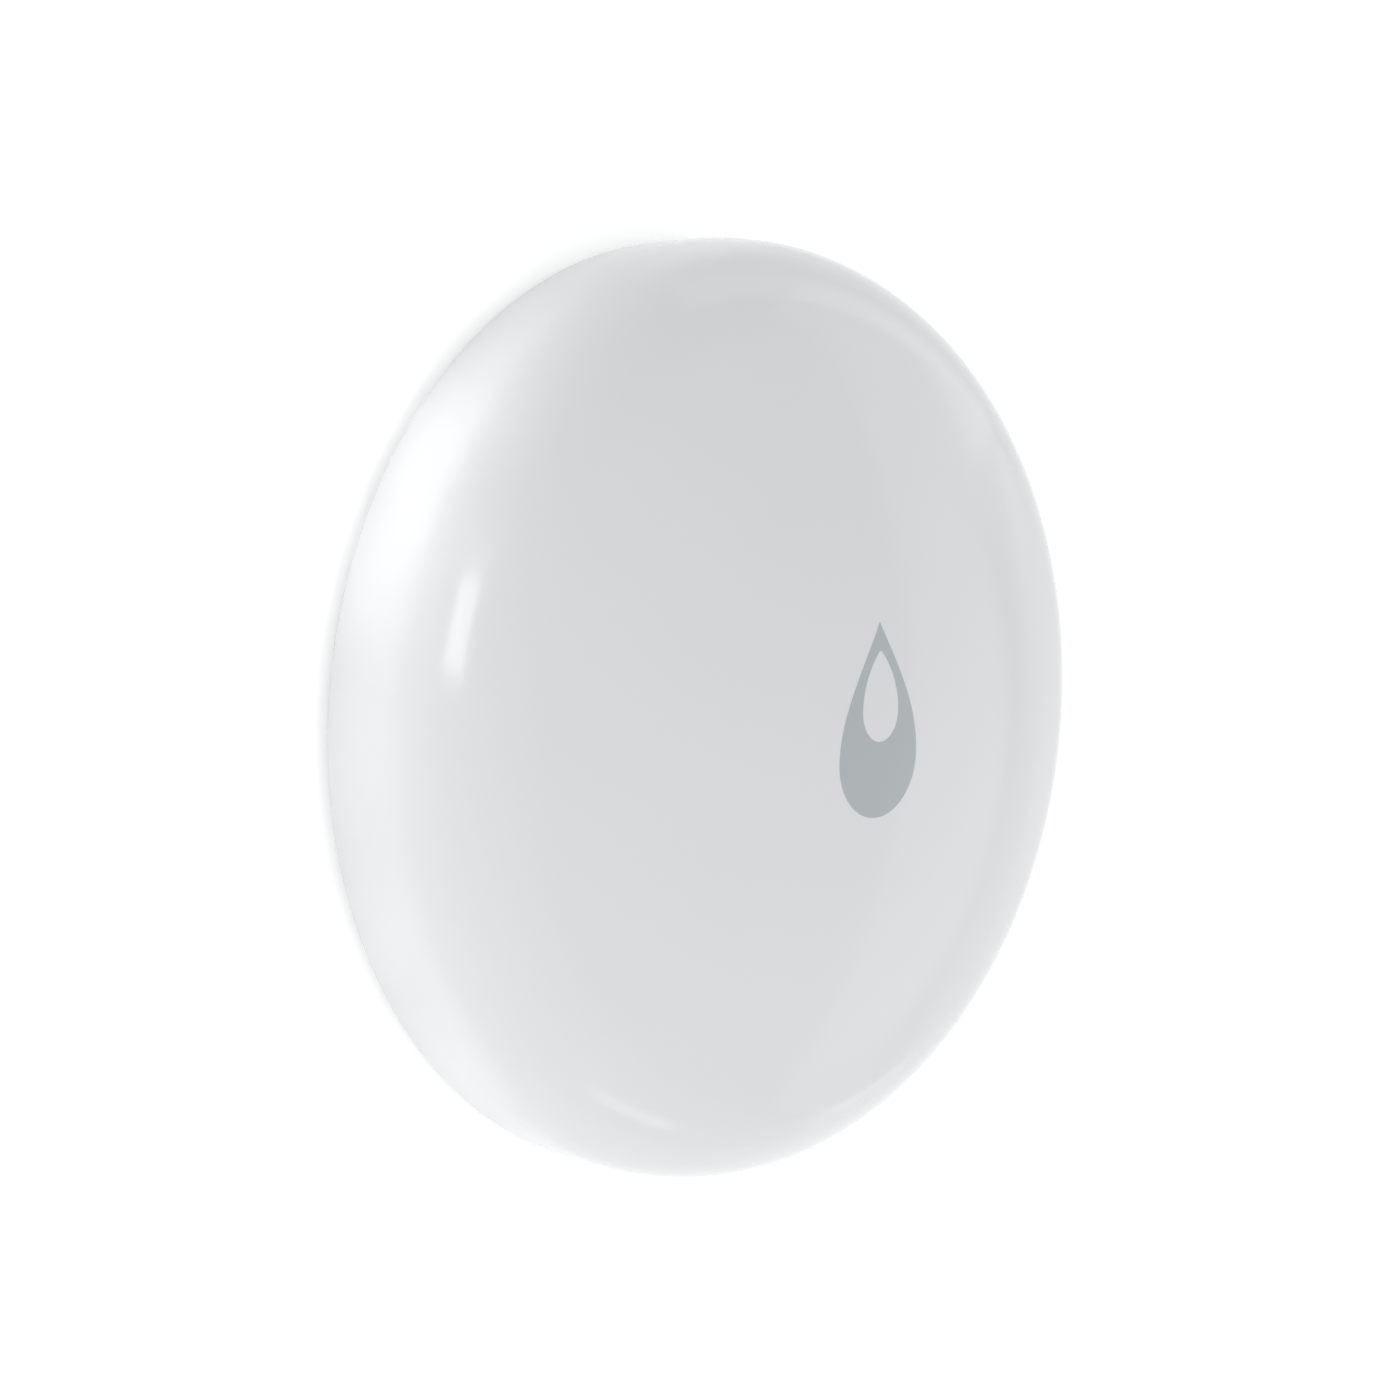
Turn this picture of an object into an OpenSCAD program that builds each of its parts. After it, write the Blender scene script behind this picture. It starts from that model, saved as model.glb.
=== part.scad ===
// Water leak sensor: a round domed puck that lies on the floor on three rubber feet.
// Lengths are in millimetres and angles in degrees. Z points up from the floor.
// The origin is on the floor under the middle, and +Y is the way the tip of the drop sign points.

/* [Housing] */
// Overall diameter
body_d = 50; // [49:0.5:60]
// Overall height above the floor
body_h = 15; // [14.6:0.1:18]
// Height of the widest line above the floor
belt_z = 4.4; // [4:0.1:5.2]
// Radius of the rounded rim
rim_r = 7.4; // [6.4:0.1:8.6]
// How far the side draws in from the widest line to the lower edge
side_draw = 0.2; // [0.1:0.05:0.4]
// Wall thickness of the top shell
shell_wall = 1.5; // [1.2:0.1:1.8]
// Rounding of the lower edge of the top shell
lower_edge_r = 0.5; // [0.2:0.05:0.6]
// Clear height between the floor and the base
floor_gap = 0.6; // [0.4:0.05:0.8]

/* [Base] */
// Thickness of the base plate
base_t = 1.6; // [1.4:0.1:1.8]
// Radial gap between the base and the shell
base_gap = 0.15; // [0.1:0.05:0.3]
// Height of the stiff edge of the base
base_edge_h = 2.6; // [2.4:0.1:3]
// Thickness of the stiff edge behind its seal groove
base_edge_t = 1.2; // [1:0.1:1.5]
// Thickness of the tube round the coin cell
tube_t = 1.3; // [1:0.1:1.6]
// Width of the collar round the battery port
collar_t = 1.2; // [1:0.1:1.6]
// Thickness of the ribs on the base plate
rib_t = 1; // [0.8:0.1:1.4]

/* [Seals] */
// Cord thickness of the seal round the base
base_seal_d = 1.1; // [0.9:0.05:1.3]
// Cord thickness of the seal on the battery cover
cover_seal_d = 0.9; // [0.7:0.05:1]
// Cord thickness of the seals under the probe heads
probe_seal_d = 0.7; // [0.5:0.05:0.9]
// Slack between a seal and its seats
seal_slack = 0.03; // [0.02:0.01:0.05]

/* [Coin cell] */
// Diameter of the coin cell
cell_d = 20; // [16:0.5:20.5]
// Height of the coin cell
cell_h = 3.2; // [2.5:0.1:3.6]
// Gap between the side of the cell and the plastic round it
cell_gap = 0.35; // [0.25:0.05:0.5]
// Gap between the cell and the battery cover
cell_float = 0.2; // [0.1:0.05:0.3]
// Room for the contacts between the cell and the board
contact_room = 1.2; // [1:0.1:1.5]
// Sheet thickness of the contacts
contact_t = 0.2; // [0.15:0.05:0.25]
// Width of the leaf spring on the cap of the cell
leaf_w = 4; // [3:0.1:5]
// Reach of the leaf spring from the middle to its soldered end
leaf_reach = 8.5; // [8:0.1:9]
// Length of the soldered foot of the leaf spring
leaf_foot = 3; // [2.5:0.1:3.5]
// Half the length of the flat that touches the cap
leaf_flat = 1.2; // [0.8:0.1:1.6]
// Length of the free end of the leaf spring
leaf_tip = 2; // [1.5:0.1:2.5]
// Rise of the free end of the leaf spring
leaf_rise = 0.5; // [0.3:0.05:0.6]
// Width of the spring finger on the side of the cell
finger_w = 5; // [4:0.1:6]
// Length of the soldered foot of the spring finger
finger_foot = 2.2; // [1.8:0.1:2.6]
// Distance of the spring finger from the wall behind it
finger_gap = 0.8; // [0.6:0.05:1]
// Outward kick of the finger's free end
finger_kick = 0.5; // [0.3:0.05:0.6]

/* [Battery cover] */
// Thickness of the cover plate
cover_t = 1.8; // [1.7:0.1:2.2]
// Wall thickness of the skirt that carries the lugs
skirt_t = 1.4; // [1.2:0.1:1.6]
// Radial running gap of the cover
turn_gap = 0.15; // [0.1:0.05:0.25]
// Axial running gap of the cover
lift_gap = 0.1; // [0.1:0.05:0.2]
// How far a lug reaches over the ledge
lug_bite = 0.95; // [0.7:0.05:1.2]
// Thickness of a lug
lug_t = 0.9; // [0.7:0.1:1.2]
// Width of a lug
lug_deg = 22; // [16:1:26]
// Turn from locked to open
turn_deg = 30; // [28:1:34]
// Thickness of the ledge that holds the lugs
ledge_t = 0.9; // [0.8:0.1:1.2]
// Width of the coin slot
slot_w = 2; // [1.6:0.1:2.4]
// Length of the coin slot
slot_len = 14; // [10:0.5:16]
// Depth of the coin slot in its middle
slot_deep = 1.1; // [0.8:0.1:1.2]

/* [Probes] */
// Clear height between the floor and the probe heads
probe_lift = 0.25; // [0.2:0.05:0.35]
// Diameter of a probe head
probe_head_d = 4.4; // [3.8:0.1:5]
// Height of a probe head
probe_head_h = 1.1; // [0.9:0.1:1.3]
// Gap round a probe head
probe_gap = 0.5; // [0.3:0.1:0.8]
// Diameter of the probe thread
probe_thread_d = 2; // [1.6:0.1:2.4]
// Diameter of a brass post
post_d = 4.2; // [3.8:0.1:4.8]
// Brass left between the two bores of a post
post_web = 0.6; // [0.4:0.1:1]

/* [Screws and feet] */
// Diameter of a foot
foot_d = 5.6; // [5:0.1:6.4]
// Depth of the recess that a foot sits in
foot_seat = 0.4; // [0.3:0.05:0.5]
// Head diameter of a housing screw
housing_head_d = 3.8; // [3.4:0.1:4.2]
// Head height of a housing screw
housing_head_h = 1.3; // [1:0.1:1.5]
// Thread diameter of a housing screw
housing_thread_d = 1.8; // [1.6:0.1:2.2]
// Thread length of a housing screw under its head
housing_thread_len = 6.4; // [5:0.1:6.8]
// Diameter of a screw boss in the shell
shell_boss_d = 4.8; // [4.4:0.1:5.4]
// Head diameter of a board screw
board_head_d = 3.2; // [2.8:0.1:3.6]
// Head height of a board screw
board_head_h = 0.9; // [0.8:0.1:1.2]
// Thread diameter of a board screw
board_thread_d = 1.6; // [1.4:0.1:1.8]

/* [Circuit board] */
// Thickness of the board
board_t = 1; // [0.8:0.1:1.2]
// Gap between the edge of the board and the shell
board_gap = 1.2; // [0.8:0.1:1.6]
// Length of the radio can
shield_x = 9; // [8:0.5:10]
// Width of the radio can
shield_y = 8; // [7:0.5:9]
// Height of the radio can
shield_h = 2; // [1.6:0.1:2.2]
// Side of the radio chip
chip_w = 5; // [4:0.5:6]
// Height of the radio chip
chip_h = 0.9; // [0.7:0.1:1.2]
// Length of the resonator
crystal_x = 3.2; // [2.4:0.1:3.6]
// Width of the resonator
crystal_y = 2.5; // [1.6:0.1:2.8]
// Height of the resonator
crystal_h = 0.7; // [0.5:0.1:0.9]
// Length of the antenna
antenna_len = 7; // [5:0.5:8]
// Width of the antenna
antenna_w = 2; // [1.6:0.1:2.4]
// Height of the antenna
antenna_h = 1; // [0.8:0.1:1.2]
// Gap between the antenna and the edge of the board
antenna_edge = 2.2; // [1.8:0.1:2.6]
// Length of a small resistor
small_len = 1; // [0.6:0.1:1.2]
// Length of a large capacitor
large_len = 1.6; // [1.2:0.1:2]
// Placement grid of the parts on the board
grid = 1; // [0.9:0.05:1.1]

/* [Push switch] */
// Width of the switch
switch_w = 6; // [5:0.1:6.4]
// Height of the switch without its stem
switch_h = 2.5; // [2.2:0.1:2.8]
// Diameter of the stem
stem_d = 3.4; // [2.8:0.1:3.8]
// How far the stem stands out of the switch
stem_proud = 0.6; // [0.5:0.1:0.8]
// Travel of the stem
switch_travel = 0.25; // [0.2:0.05:0.35]
// Gap between the stem and the press post above it
press_gap = 0.1; // [0.05:0.05:0.2]

/* [Status light] */
// Distance of the light from the middle
light_y = 7; // [6.5:0.1:8]
// Diameter of the light guide
guide_d = 2.4; // [2:0.1:2.8]

/* [Hidden] */
$fn = 96;
// Small overshoot that makes cuts clean
cut = 0.02;
// Clearance of a thread core in its bore, and of a contact finger from the cell
bore_gap = 0.05;
// Clearance of a screw shank in a through hole
hole_gap = 0.2;
// Clearance between the tip of a screw and the end of its bore
tip_gap = 0.1;
// Clearance of a small part that slides in a hole
slide_gap = 0.1;
// Chamfer of a moulded edge
edge_cut = 0.3;
// Least wall that stays over or under a screw or a seal
skin = 1;
// Small step between two faces of the base that would otherwise fall together
rib_step = 0.1;
// Segments of a rounded stretch of the outline
arc_steps = 24;

// Heights, from the floor up
z_base = floor_gap;
z_plate = z_base + base_t;
z_edge = z_base + base_edge_h;
z_cover = z_base + cover_t;
z_ledge_low = z_cover + lift_gap;
z_ledge = z_ledge_low + ledge_t;
z_lug = z_ledge + lift_gap;
z_skirt = z_lug + lug_t + 0.2;
z_rib = z_skirt + 0.15;
z_cell = z_cover + cell_float;
z_cap = z_cell + cell_h;
z_board = z_cap + contact_room;
z_tube = z_board - 0.7;
z_top = z_board + board_t;
z_switch = z_top + switch_h;
z_stem = z_switch + stem_proud;
z_screw = z_base + foot_seat + housing_head_h + 0.3;
z_joint = z_screw + 1.8;
z_probe = probe_lift + probe_head_h;
z_probe_seat = z_probe + probe_seal_d + 2 * seal_slack;
z_probe_boss = z_probe_seat + skin;
z_post_low = z_probe_boss + (z_board - z_probe_boss - post_web) * 0.6;
z_post_high = z_post_low + post_web;

// Outline of the shell: a crown arc, a rim arc and a side arc that run into each other
rim_c = body_d / 2 - rim_r;
crown_rise = body_h - belt_z;
crown_r = (rim_c * rim_c + crown_rise * crown_rise - rim_r * rim_r) / (2 * (crown_rise - rim_r));
crown_c = body_h - crown_r;
crown_a = atan2(belt_z - crown_c, rim_c);
side_h = belt_z - z_base;
side_r = (side_h * side_h + side_draw * side_draw) / (2 * side_draw);
side_end = (z_base + lower_edge_r * (1 - belt_z / side_r)) / (1 - lower_edge_r / side_r);
side_a = asin((belt_z - side_end) / side_r);
side_x = body_d / 2 - side_r + side_r * cos(side_a);
edge_x = side_x - lower_edge_r * cos(side_a);

// Radii, from the coin cell outwards
skirt_ri = cell_d / 2 + cell_gap;
skirt_ro = skirt_ri + skirt_t;
ledge_ri = skirt_ro + turn_gap;
lug_r = ledge_ri + lug_bite;
notch_r = lug_r + turn_gap;
track_r = notch_r + turn_gap;
tube_r = track_r + tube_t;
neck_r = notch_r + turn_gap;
lip_r = neck_r + cover_seal_d + 0.1;
port_r = lip_r + turn_gap;
collar_r = port_r + collar_t;
bore_r = body_d / 2 - shell_wall;
base_r = bore_r - base_gap;
groove_r = bore_r - base_seal_d - 2 * seal_slack;
edge_ri = groove_r - base_edge_t;
groove_w = base_seal_d + 0.1;
groove_z = z_base + (base_edge_h - groove_w) / 2;
foot_hole_r = foot_d / 2 + 0.1;
probe_hole_r = probe_head_d / 2 + probe_gap;
ring_at = (port_r + groove_r) / 2;
shell_boss_r = shell_boss_d / 2;
post_r = post_d / 2;
board_r = inner_r(z_top) - board_gap;
guide_r = guide_d / 2;

// Angles of the features that repeat round the middle
screw_angles = [90, 210, 330];
probe_angles = [0, 180];
lug_angles = [30, 150, 270];
rest_angles = [15, 135, 255];
rib_angles = [45, 135, 240, 270, 300];
positive_angle = 75;
// Play of a lug in its entry notch, gap before a stop, and width of a stop
notch_play = 2;
stop_play = 2.5;
stop_deg = 5;
rest_deg = 16;

// Sheet and floor of the push switch, its snap dome and the flange of its stem
switch_floor = 0.5;
frame_t = 0.2;
flange_t = 0.5;
dome_rise = 0.3;
flange_r = stem_d / 2 + 0.4;
// Place of the radio can on the board
shield_at = [-8, 6.5] * grid;
// Depth of the light guide socket in the shell
socket_h = 1.6;

// Points of an arc about a centre
function arc(cx, cz, r, from, to, steps = arc_steps) =
    [for (i = [0:steps])
        let (a = from + (to - from) * i / steps)
        [cx + r * cos(a), cz + r * sin(a)]];

// Outline of the dome from the axis to the widest line, at a depth under its surface
function dome(depth) = concat(
    arc(0, crown_c, crown_r - depth, 90, crown_a),
    arc(rim_c, belt_z, rim_r - depth, crown_a - 90 / arc_steps, 0));

// Radius of the inner face of the shell at a height above the widest line
function inner_r(z) =
    z < belt_z + (rim_r - shell_wall) * sin(crown_a)
    ? rim_c + sqrt(pow(rim_r - shell_wall, 2) - pow(max(z - belt_z, 0), 2))
    : sqrt(pow(crown_r - shell_wall, 2) - pow(z - crown_c, 2));

// Height of the inner face of the shell at a radius on the crown
function roof_z(r) = crown_c + sqrt(pow(crown_r - shell_wall, 2) - r * r);

// Unit normal of a line between two points
function normal(p, q) = [p[1] - q[1], q[0] - p[0]] / norm(q - p);

// Offset of a bend of a strip, mitred
function mitre(p, i) =
    i == 0 ? normal(p[0], p[1])
    : i == len(p) - 1 ? normal(p[i - 1], p[i])
    : let (a = normal(p[i - 1], p[i]), b = normal(p[i], p[i + 1])) (a + b) / (1 + a * b);

// Outline of a bent strip of even thickness along a line of points
function strip(p, t) = concat(
    [for (i = [0:len(p) - 1]) p[i] + mitre(p, i) * t / 2],
    [for (i = [len(p) - 1:-1:0]) p[i] - mitre(p, i) * t / 2]);

// Copies of a feature at a radius, one for each angle
module around(angles, radius) {
    for (a = angles)
        rotate([0, 0, a])
            translate([radius, 0, 0])
                children();
}

// Ring sector drawn in the plane of radius and height
module sector(middle, width) {
    rotate([0, 0, middle - width / 2])
        rotate_extrude(angle = width)
            children();
}

// Round cord seal
module ring_seal(radius, z, d) {
    rotate_extrude()
        translate([radius, z])
            circle(d = d, $fn = 32);
}

// Box that stands on a height, centred on its place
module block(x, y, z, size, turn = 0) {
    translate([x, y, z + size[2] / 2])
        rotate([0, 0, turn])
            cube(size, center = true);
}

// Pan head screw with its shoulder at zero, head below and thread above
module pan_screw(head_d, head_h, thread_d, thread_len) {
    head_r = head_d / 2;
    thread_r = thread_d / 2;
    crown = head_h * 0.45;
    crown_ball = (head_r * head_r + crown * crown) / (2 * crown);
    crown_half = asin(head_r / crown_ball);
    cross_w = head_d * 0.14;
    difference() {
        rotate_extrude()
            polygon(concat(
                arc(0, crown_ball - head_h, crown_ball, -90, crown_half - 90, 8),
                [[head_r, 0], [thread_r, 0], [thread_r, thread_len - edge_cut]],
                [[thread_r - edge_cut, thread_len], [0, thread_len]]));
        for (turn = [0, 90])
            block(0, 0, -head_h - cut, [head_d * 0.55, cross_w, head_h * 0.5], turn);
    }
}

// Solid of the whole dome, from the lower edge up
module dome_solid() {
    rotate_extrude()
        polygon(concat(
            dome(0),
            arc(body_d / 2 - side_r, belt_z, side_r, -side_a / 6, -side_a, 5),
            arc(edge_x, z_base + lower_edge_r, lower_edge_r, -side_a - 10, -90, 6),
            [[0, z_base]]));
}

// Room inside the dome, open at the bottom
module dome_room() {
    rotate_extrude()
        polygon(concat(
            dome(shell_wall),
            [[bore_r, z_base + edge_cut], [bore_r + edge_cut + cut, z_base - cut], [0, z_base - cut]]));
}

// Domed shell with its screw bosses, press post and light guide socket
module top_shell() {
    socket_z = roof_z(light_y) - 0.2 - socket_h;
    color([0.93, 0.94, 0.95])
        difference() {
            dome_solid();
            difference() {
                dome_room();
                around(screw_angles, ring_at)
                    translate([0, 0, z_joint])
                        cylinder(h = body_h, r = shell_boss_r);
                translate([0, 0, z_stem + press_gap])
                    cylinder(h = body_h, d = stem_d);
                translate([0, light_y, socket_z])
                    cylinder(h = body_h, r = guide_r + skin);
            }
            around(screw_angles, ring_at)
                translate([0, 0, z_joint - cut])
                    cylinder(h = z_screw + housing_thread_len + tip_gap - z_joint,
                             d = housing_thread_d + 2 * bore_gap);
            translate([0, light_y, socket_z - cut])
                cylinder(h = socket_h, r = guide_r + bore_gap);
        }
}

// Turned outside of the base: plate, stiff edge, collar and tube
module base_turned() {
    rotate_extrude()
        polygon([
            [0, z_base],
            [base_r - edge_cut, z_base],
            [base_r, z_base + edge_cut],
            [base_r, z_edge],
            [edge_ri, z_edge],
            [edge_ri, z_plate],
            [collar_r, z_plate],
            [collar_r, z_ledge],
            [tube_r, z_ledge],
            [tube_r, z_tube],
            [0, z_tube]]);
}

// Outline of a rib that stops a lug below and steadies the coin cell above
module stop_outline() {
    polygon([
        [ledge_ri + rib_step, z_ledge - skin],
        [tube_r, z_ledge - skin],
        [tube_r, z_tube + skin],
        [skirt_ri, z_tube + skin],
        [skirt_ri, z_rib],
        [ledge_ri + rib_step, z_rib]]);
}

// Room of the battery port: mouth, hole in the ledge, and track with its stops left standing
module port_room() {
    stop_in = lug_deg / 2 + stop_play + stop_deg / 2;
    translate([0, 0, z_base - skin])
        cylinder(h = z_ledge_low - z_base + skin, r = port_r);
    translate([0, 0, z_base])
        cylinder(h = z_ledge - z_base + cut, r = ledge_ri);
    difference() {
        translate([0, 0, z_ledge])
            cylinder(h = z_tube - z_ledge + cut, r = track_r);
        for (a = lug_angles) {
            sector(a + stop_in, stop_deg)
                stop_outline();
            sector(a - turn_deg - stop_in, stop_deg)
                stop_outline();
        }
    }
    for (a = lug_angles)
        sector(a - turn_deg, lug_deg + 2 * notch_play)
            translate([ledge_ri - skin, z_ledge_low - cut])
                square([notch_r - ledge_ri + skin, ledge_t + 2 * cut]);
}

// Base that closes the shell and holds the battery port, the probes and the board
module base() {
    color([0.90, 0.91, 0.92])
        difference() {
            union() {
                base_turned();
                for (a = rest_angles)
                    sector(a, rest_deg)
                        translate([track_r + rib_step, z_tube - skin])
                            square([tube_t - 2 * rib_step, z_board - z_tube + skin]);
                around(screw_angles, ring_at)
                    translate([0, 0, z_plate - skin / 2])
                        cylinder(h = z_joint - z_plate + skin / 2, r = housing_head_d / 2 + skin);
                around(probe_angles, ring_at)
                    translate([0, 0, z_plate - skin / 2])
                        cylinder(h = z_probe_boss - z_plate + skin / 2, r = probe_hole_r + skin);
                for (a = rib_angles)
                    rotate([0, 0, a])
                        translate([collar_r - skin / 2, -rib_t / 2, z_plate - skin / 2])
                            cube([edge_ri - collar_r + skin, rib_t, z_edge - edge_cut - z_plate + skin / 2]);
            }
            rotate_extrude()
                translate([groove_r, groove_z])
                    square([base_r - groove_r + skin, groove_w]);
            port_room();
            around(screw_angles, ring_at) {
                translate([0, 0, z_base - skin])
                    cylinder(h = foot_seat + skin, r = foot_hole_r);
                translate([0, 0, z_base])
                    cylinder(h = z_screw - z_base, d = housing_head_d + 2 * hole_gap);
                translate([0, 0, z_base])
                    cylinder(h = z_joint - z_base + skin, d = housing_thread_d + 2 * hole_gap);
            }
            around(probe_angles, ring_at) {
                translate([0, 0, z_base - skin])
                    cylinder(h = z_probe_seat - z_base + skin, r = probe_hole_r);
                translate([0, 0, z_base])
                    cylinder(h = z_probe_boss - z_base + skin, d = probe_thread_d + 2 * hole_gap);
            }
        }
}

// Seal in the groove round the base
module base_seal() {
    color([0.55, 0.56, 0.58])
        ring_seal(groove_r + seal_slack + base_seal_d / 2, groove_z + groove_w / 2, base_seal_d);
}

// Twist cover of the battery port with its skirt, lugs and coin slot
module battery_cover() {
    seat_z = z_ledge_low - cover_seal_d - 2 * seal_slack;
    coin_r = (slot_len * slot_len / 4 + slot_deep * slot_deep) / (2 * slot_deep);
    color([0.88, 0.89, 0.90])
        difference() {
            union() {
                rotate_extrude()
                    polygon([
                        [0, z_base],
                        [lip_r - edge_cut, z_base],
                        [lip_r, z_base + edge_cut],
                        [lip_r, seat_z],
                        [neck_r, seat_z],
                        [neck_r, z_cover],
                        [skirt_ro, z_cover],
                        [skirt_ro, z_skirt],
                        [skirt_ri, z_skirt],
                        [skirt_ri, z_cover],
                        [0, z_cover]]);
                for (a = lug_angles)
                    sector(a, lug_deg)
                        translate([skirt_ro - skirt_t / 2, z_lug])
                            square([lug_r - skirt_ro + skirt_t / 2, lug_t]);
            }
            translate([0, 0, z_base + slot_deep - coin_r])
                rotate([90, 0, 0])
                    cylinder(h = slot_w, r = coin_r, center = true);
        }
}

// Seal that rides on the neck of the battery cover
module cover_seal() {
    color([0.55, 0.56, 0.58])
        ring_seal(
            neck_r + seal_slack + cover_seal_d / 2,
            z_ledge_low - seal_slack - cover_seal_d / 2,
            cover_seal_d);
}

// Coin cell with its can below and its smaller cap above
module coin_cell() {
    can_r = cell_d / 2;
    can_h = cell_h - 0.25;
    color([0.75, 0.76, 0.77])
        translate([0, 0, z_cell])
            rotate_extrude()
                polygon(concat(
                    [[0, 0]],
                    arc(can_r - 0.4, 0.4, 0.4, -90, 0, 6),
                    arc(can_r - 0.5, can_h - 0.5, 0.5, 0, 90, 8),
                    [[can_r - 1.1, can_h], [can_r - 1.1, can_h - 0.2], [can_r - 1.3, can_h - 0.2]],
                    arc(can_r - 1.5, cell_h - 0.2, 0.2, 0, 90, 4),
                    [[0, cell_h]]));
}

// Leaf spring from the board to the middle of the cell's cap
module negative_contact() {
    touch_z = z_cap + contact_t / 2 + seal_slack;
    solder_z = z_board - contact_t / 2;
    color([0.80, 0.78, 0.70])
        rotate([90, 0, 0])
            linear_extrude(height = leaf_w, center = true)
                polygon(strip(
                    [[-leaf_reach, solder_z], [leaf_foot - leaf_reach, solder_z], [-leaf_flat, touch_z],
                     [leaf_flat, touch_z], [leaf_flat + leaf_tip, touch_z + leaf_rise]],
                    contact_t));
}

// Spring finger from the board to the side of the cell
module positive_contact() {
    touch_r = cell_d / 2 + contact_t / 2 + bore_gap;
    solder_z = z_board - contact_t / 2;
    drop_r = track_r - finger_gap;
    touch_z = (z_rib + z_cap) / 2;
    color([0.80, 0.78, 0.70])
        rotate([0, 0, positive_angle])
            rotate([90, 0, 0])
                linear_extrude(height = finger_w, center = true)
                    polygon(strip(
                        [[drop_r - finger_foot, solder_z], [drop_r, solder_z], [drop_r, z_cap],
                         [touch_r, touch_z], [touch_r + finger_kick, touch_z - finger_kick * 0.7]],
                        contact_t));
}

// Round board with notches for the shell's bosses
module circuit_board() {
    color([0.10, 0.35, 0.22])
        translate([0, 0, z_board])
            difference() {
                cylinder(h = board_t, r = board_r);
                around(screw_angles, ring_at)
                    translate([0, 0, -cut])
                        cylinder(h = board_t + 2 * cut, r = shell_boss_r + 0.5);
                for (a = screw_angles)
                    rotate([0, 0, a])
                        translate([ring_at, -shell_boss_r - 0.5, -cut])
                            cube([board_r, shell_boss_d + 1, board_t + 2 * cut]);
                around(probe_angles, ring_at)
                    translate([0, 0, -cut])
                        cylinder(h = board_t + 2 * cut, d = board_thread_d + 2 * hole_gap);
            }
}

// Sheet metal can over the radio, with vent holes
module radio_shield() {
    sheet = 0.2;
    color([0.78, 0.79, 0.80])
        translate([shield_at[0], shield_at[1], z_top])
            difference() {
                block(0, 0, 0, [shield_x, shield_y, shield_h]);
                block(0, 0, -cut, [shield_x - 2 * sheet, shield_y - 2 * sheet, shield_h - sheet + cut]);
                for (x = [-1, 0, 1], y = [-1, 0, 1])
                    translate([x * shield_x / 4, y * shield_y / 4, 0])
                        cylinder(h = shield_h + cut, d = 0.8, $fn = 24);
            }
}

// Radio and control chip under the can
module radio_chip() {
    mark_at = chip_w * 0.36;
    mark_deep = chip_h * 0.1;
    color([0.12, 0.12, 0.13])
        difference() {
            block(shield_at[0], shield_at[1], z_top, [chip_w, chip_w, chip_h]);
            translate([shield_at[0] - mark_at, shield_at[1] + mark_at, z_top + chip_h - mark_deep])
                cylinder(h = chip_h, d = chip_w / 10, $fn = 24);
        }
}

// Resonator with a stepped metal lid
module crystal() {
    seat_h = crystal_h * 0.6;
    lid_in = crystal_y * 0.16;
    color([0.72, 0.72, 0.70])
        translate([-8 * grid, -2 * grid, z_top]) {
            block(0, 0, 0, [crystal_x, crystal_y, seat_h]);
            block(0, 0, seat_h, [crystal_x - lid_in, crystal_y - lid_in, crystal_h - seat_h]);
        }
}

// Ceramic antenna at the edge of the board
module chip_antenna() {
    color([0.92, 0.90, 0.84])
        rotate([0, 0, 50])
            block(board_r - antenna_edge - antenna_w / 2, 0, z_top, [antenna_w, antenna_len, antenna_h]);
}

// Small part of the board, at steps of the placement grid
module chip_part(x, y, len, turn = 0) {
    block(x * grid, y * grid, z_top, [len, len / 2, len / 2], turn);
}

// Small resistors and capacitors
module passives() {
    color([0.55, 0.45, 0.35]) {
        for (x = [6, 7.4, 8.8])
            chip_part(x, -5, small_len, 90);
        for (y = [-8, -9.2, -10.4])
            chip_part(6.5, y, small_len);
        for (x = [-4, -2, 0])
            chip_part(x, -8, large_len, 90);
        chip_part(-12, -1.5, large_len, 90);
        chip_part(7.5, 5, large_len);
        chip_part(7.5, 6.6, large_len);
        chip_part(7.5, 8.2, small_len);
        chip_part(3.5, 8, small_len, 90);
    }
}

// Light-emitting diode with a round lens on its case
module status_light() {
    color([0.95, 0.93, 0.80]) {
        block(0, light_y, z_top, [2, 1.2, 0.5]);
        translate([0, light_y, z_top + 0.5])
            cylinder(h = 0.3, d = 1);
    }
}

// Clear rod that carries the light to the shell
module light_guide() {
    guide_z = z_top + 1;
    color([0.85, 0.92, 0.98])
        translate([0, light_y, guide_z])
            cylinder(h = roof_z(light_y) - 0.3 - guide_z, r = guide_r);
}

// Housing of the push switch
module switch_body() {
    color([0.13, 0.13, 0.14])
        translate([0, 0, z_top])
            difference() {
                block(0, 0, 0, [switch_w, switch_w, switch_h - frame_t]);
                translate([0, 0, switch_floor])
                    cylinder(h = switch_h, r = flange_r + slide_gap);
            }
}

// Metal plate that closes the switch round its stem
module switch_frame() {
    color([0.78, 0.79, 0.80])
        difference() {
            block(0, 0, z_switch - frame_t, [switch_w, switch_w, frame_t]);
            translate([0, 0, z_switch - frame_t - cut])
                cylinder(h = frame_t + 2 * cut, r = stem_d / 2 + slide_gap);
        }
}

// Snap dome on the floor of the switch, under the stem
module switch_dome() {
    dome_r = flange_r - 0.2;
    ball = (dome_r * dome_r + dome_rise * dome_rise) / (2 * dome_rise);
    half = asin(dome_r / ball);
    sheet = 0.1;
    half_in = acos((ball - dome_rise) / (ball - sheet));
    color([0.80, 0.80, 0.78])
        translate([0, 0, z_top + switch_floor])
            rotate_extrude()
                polygon(concat(
                    arc(0, dome_rise - ball, ball, 90, 90 - half, 10),
                    arc(0, dome_rise - ball, ball - sheet, 90 - half_in, 90, 10)));
}

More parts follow.
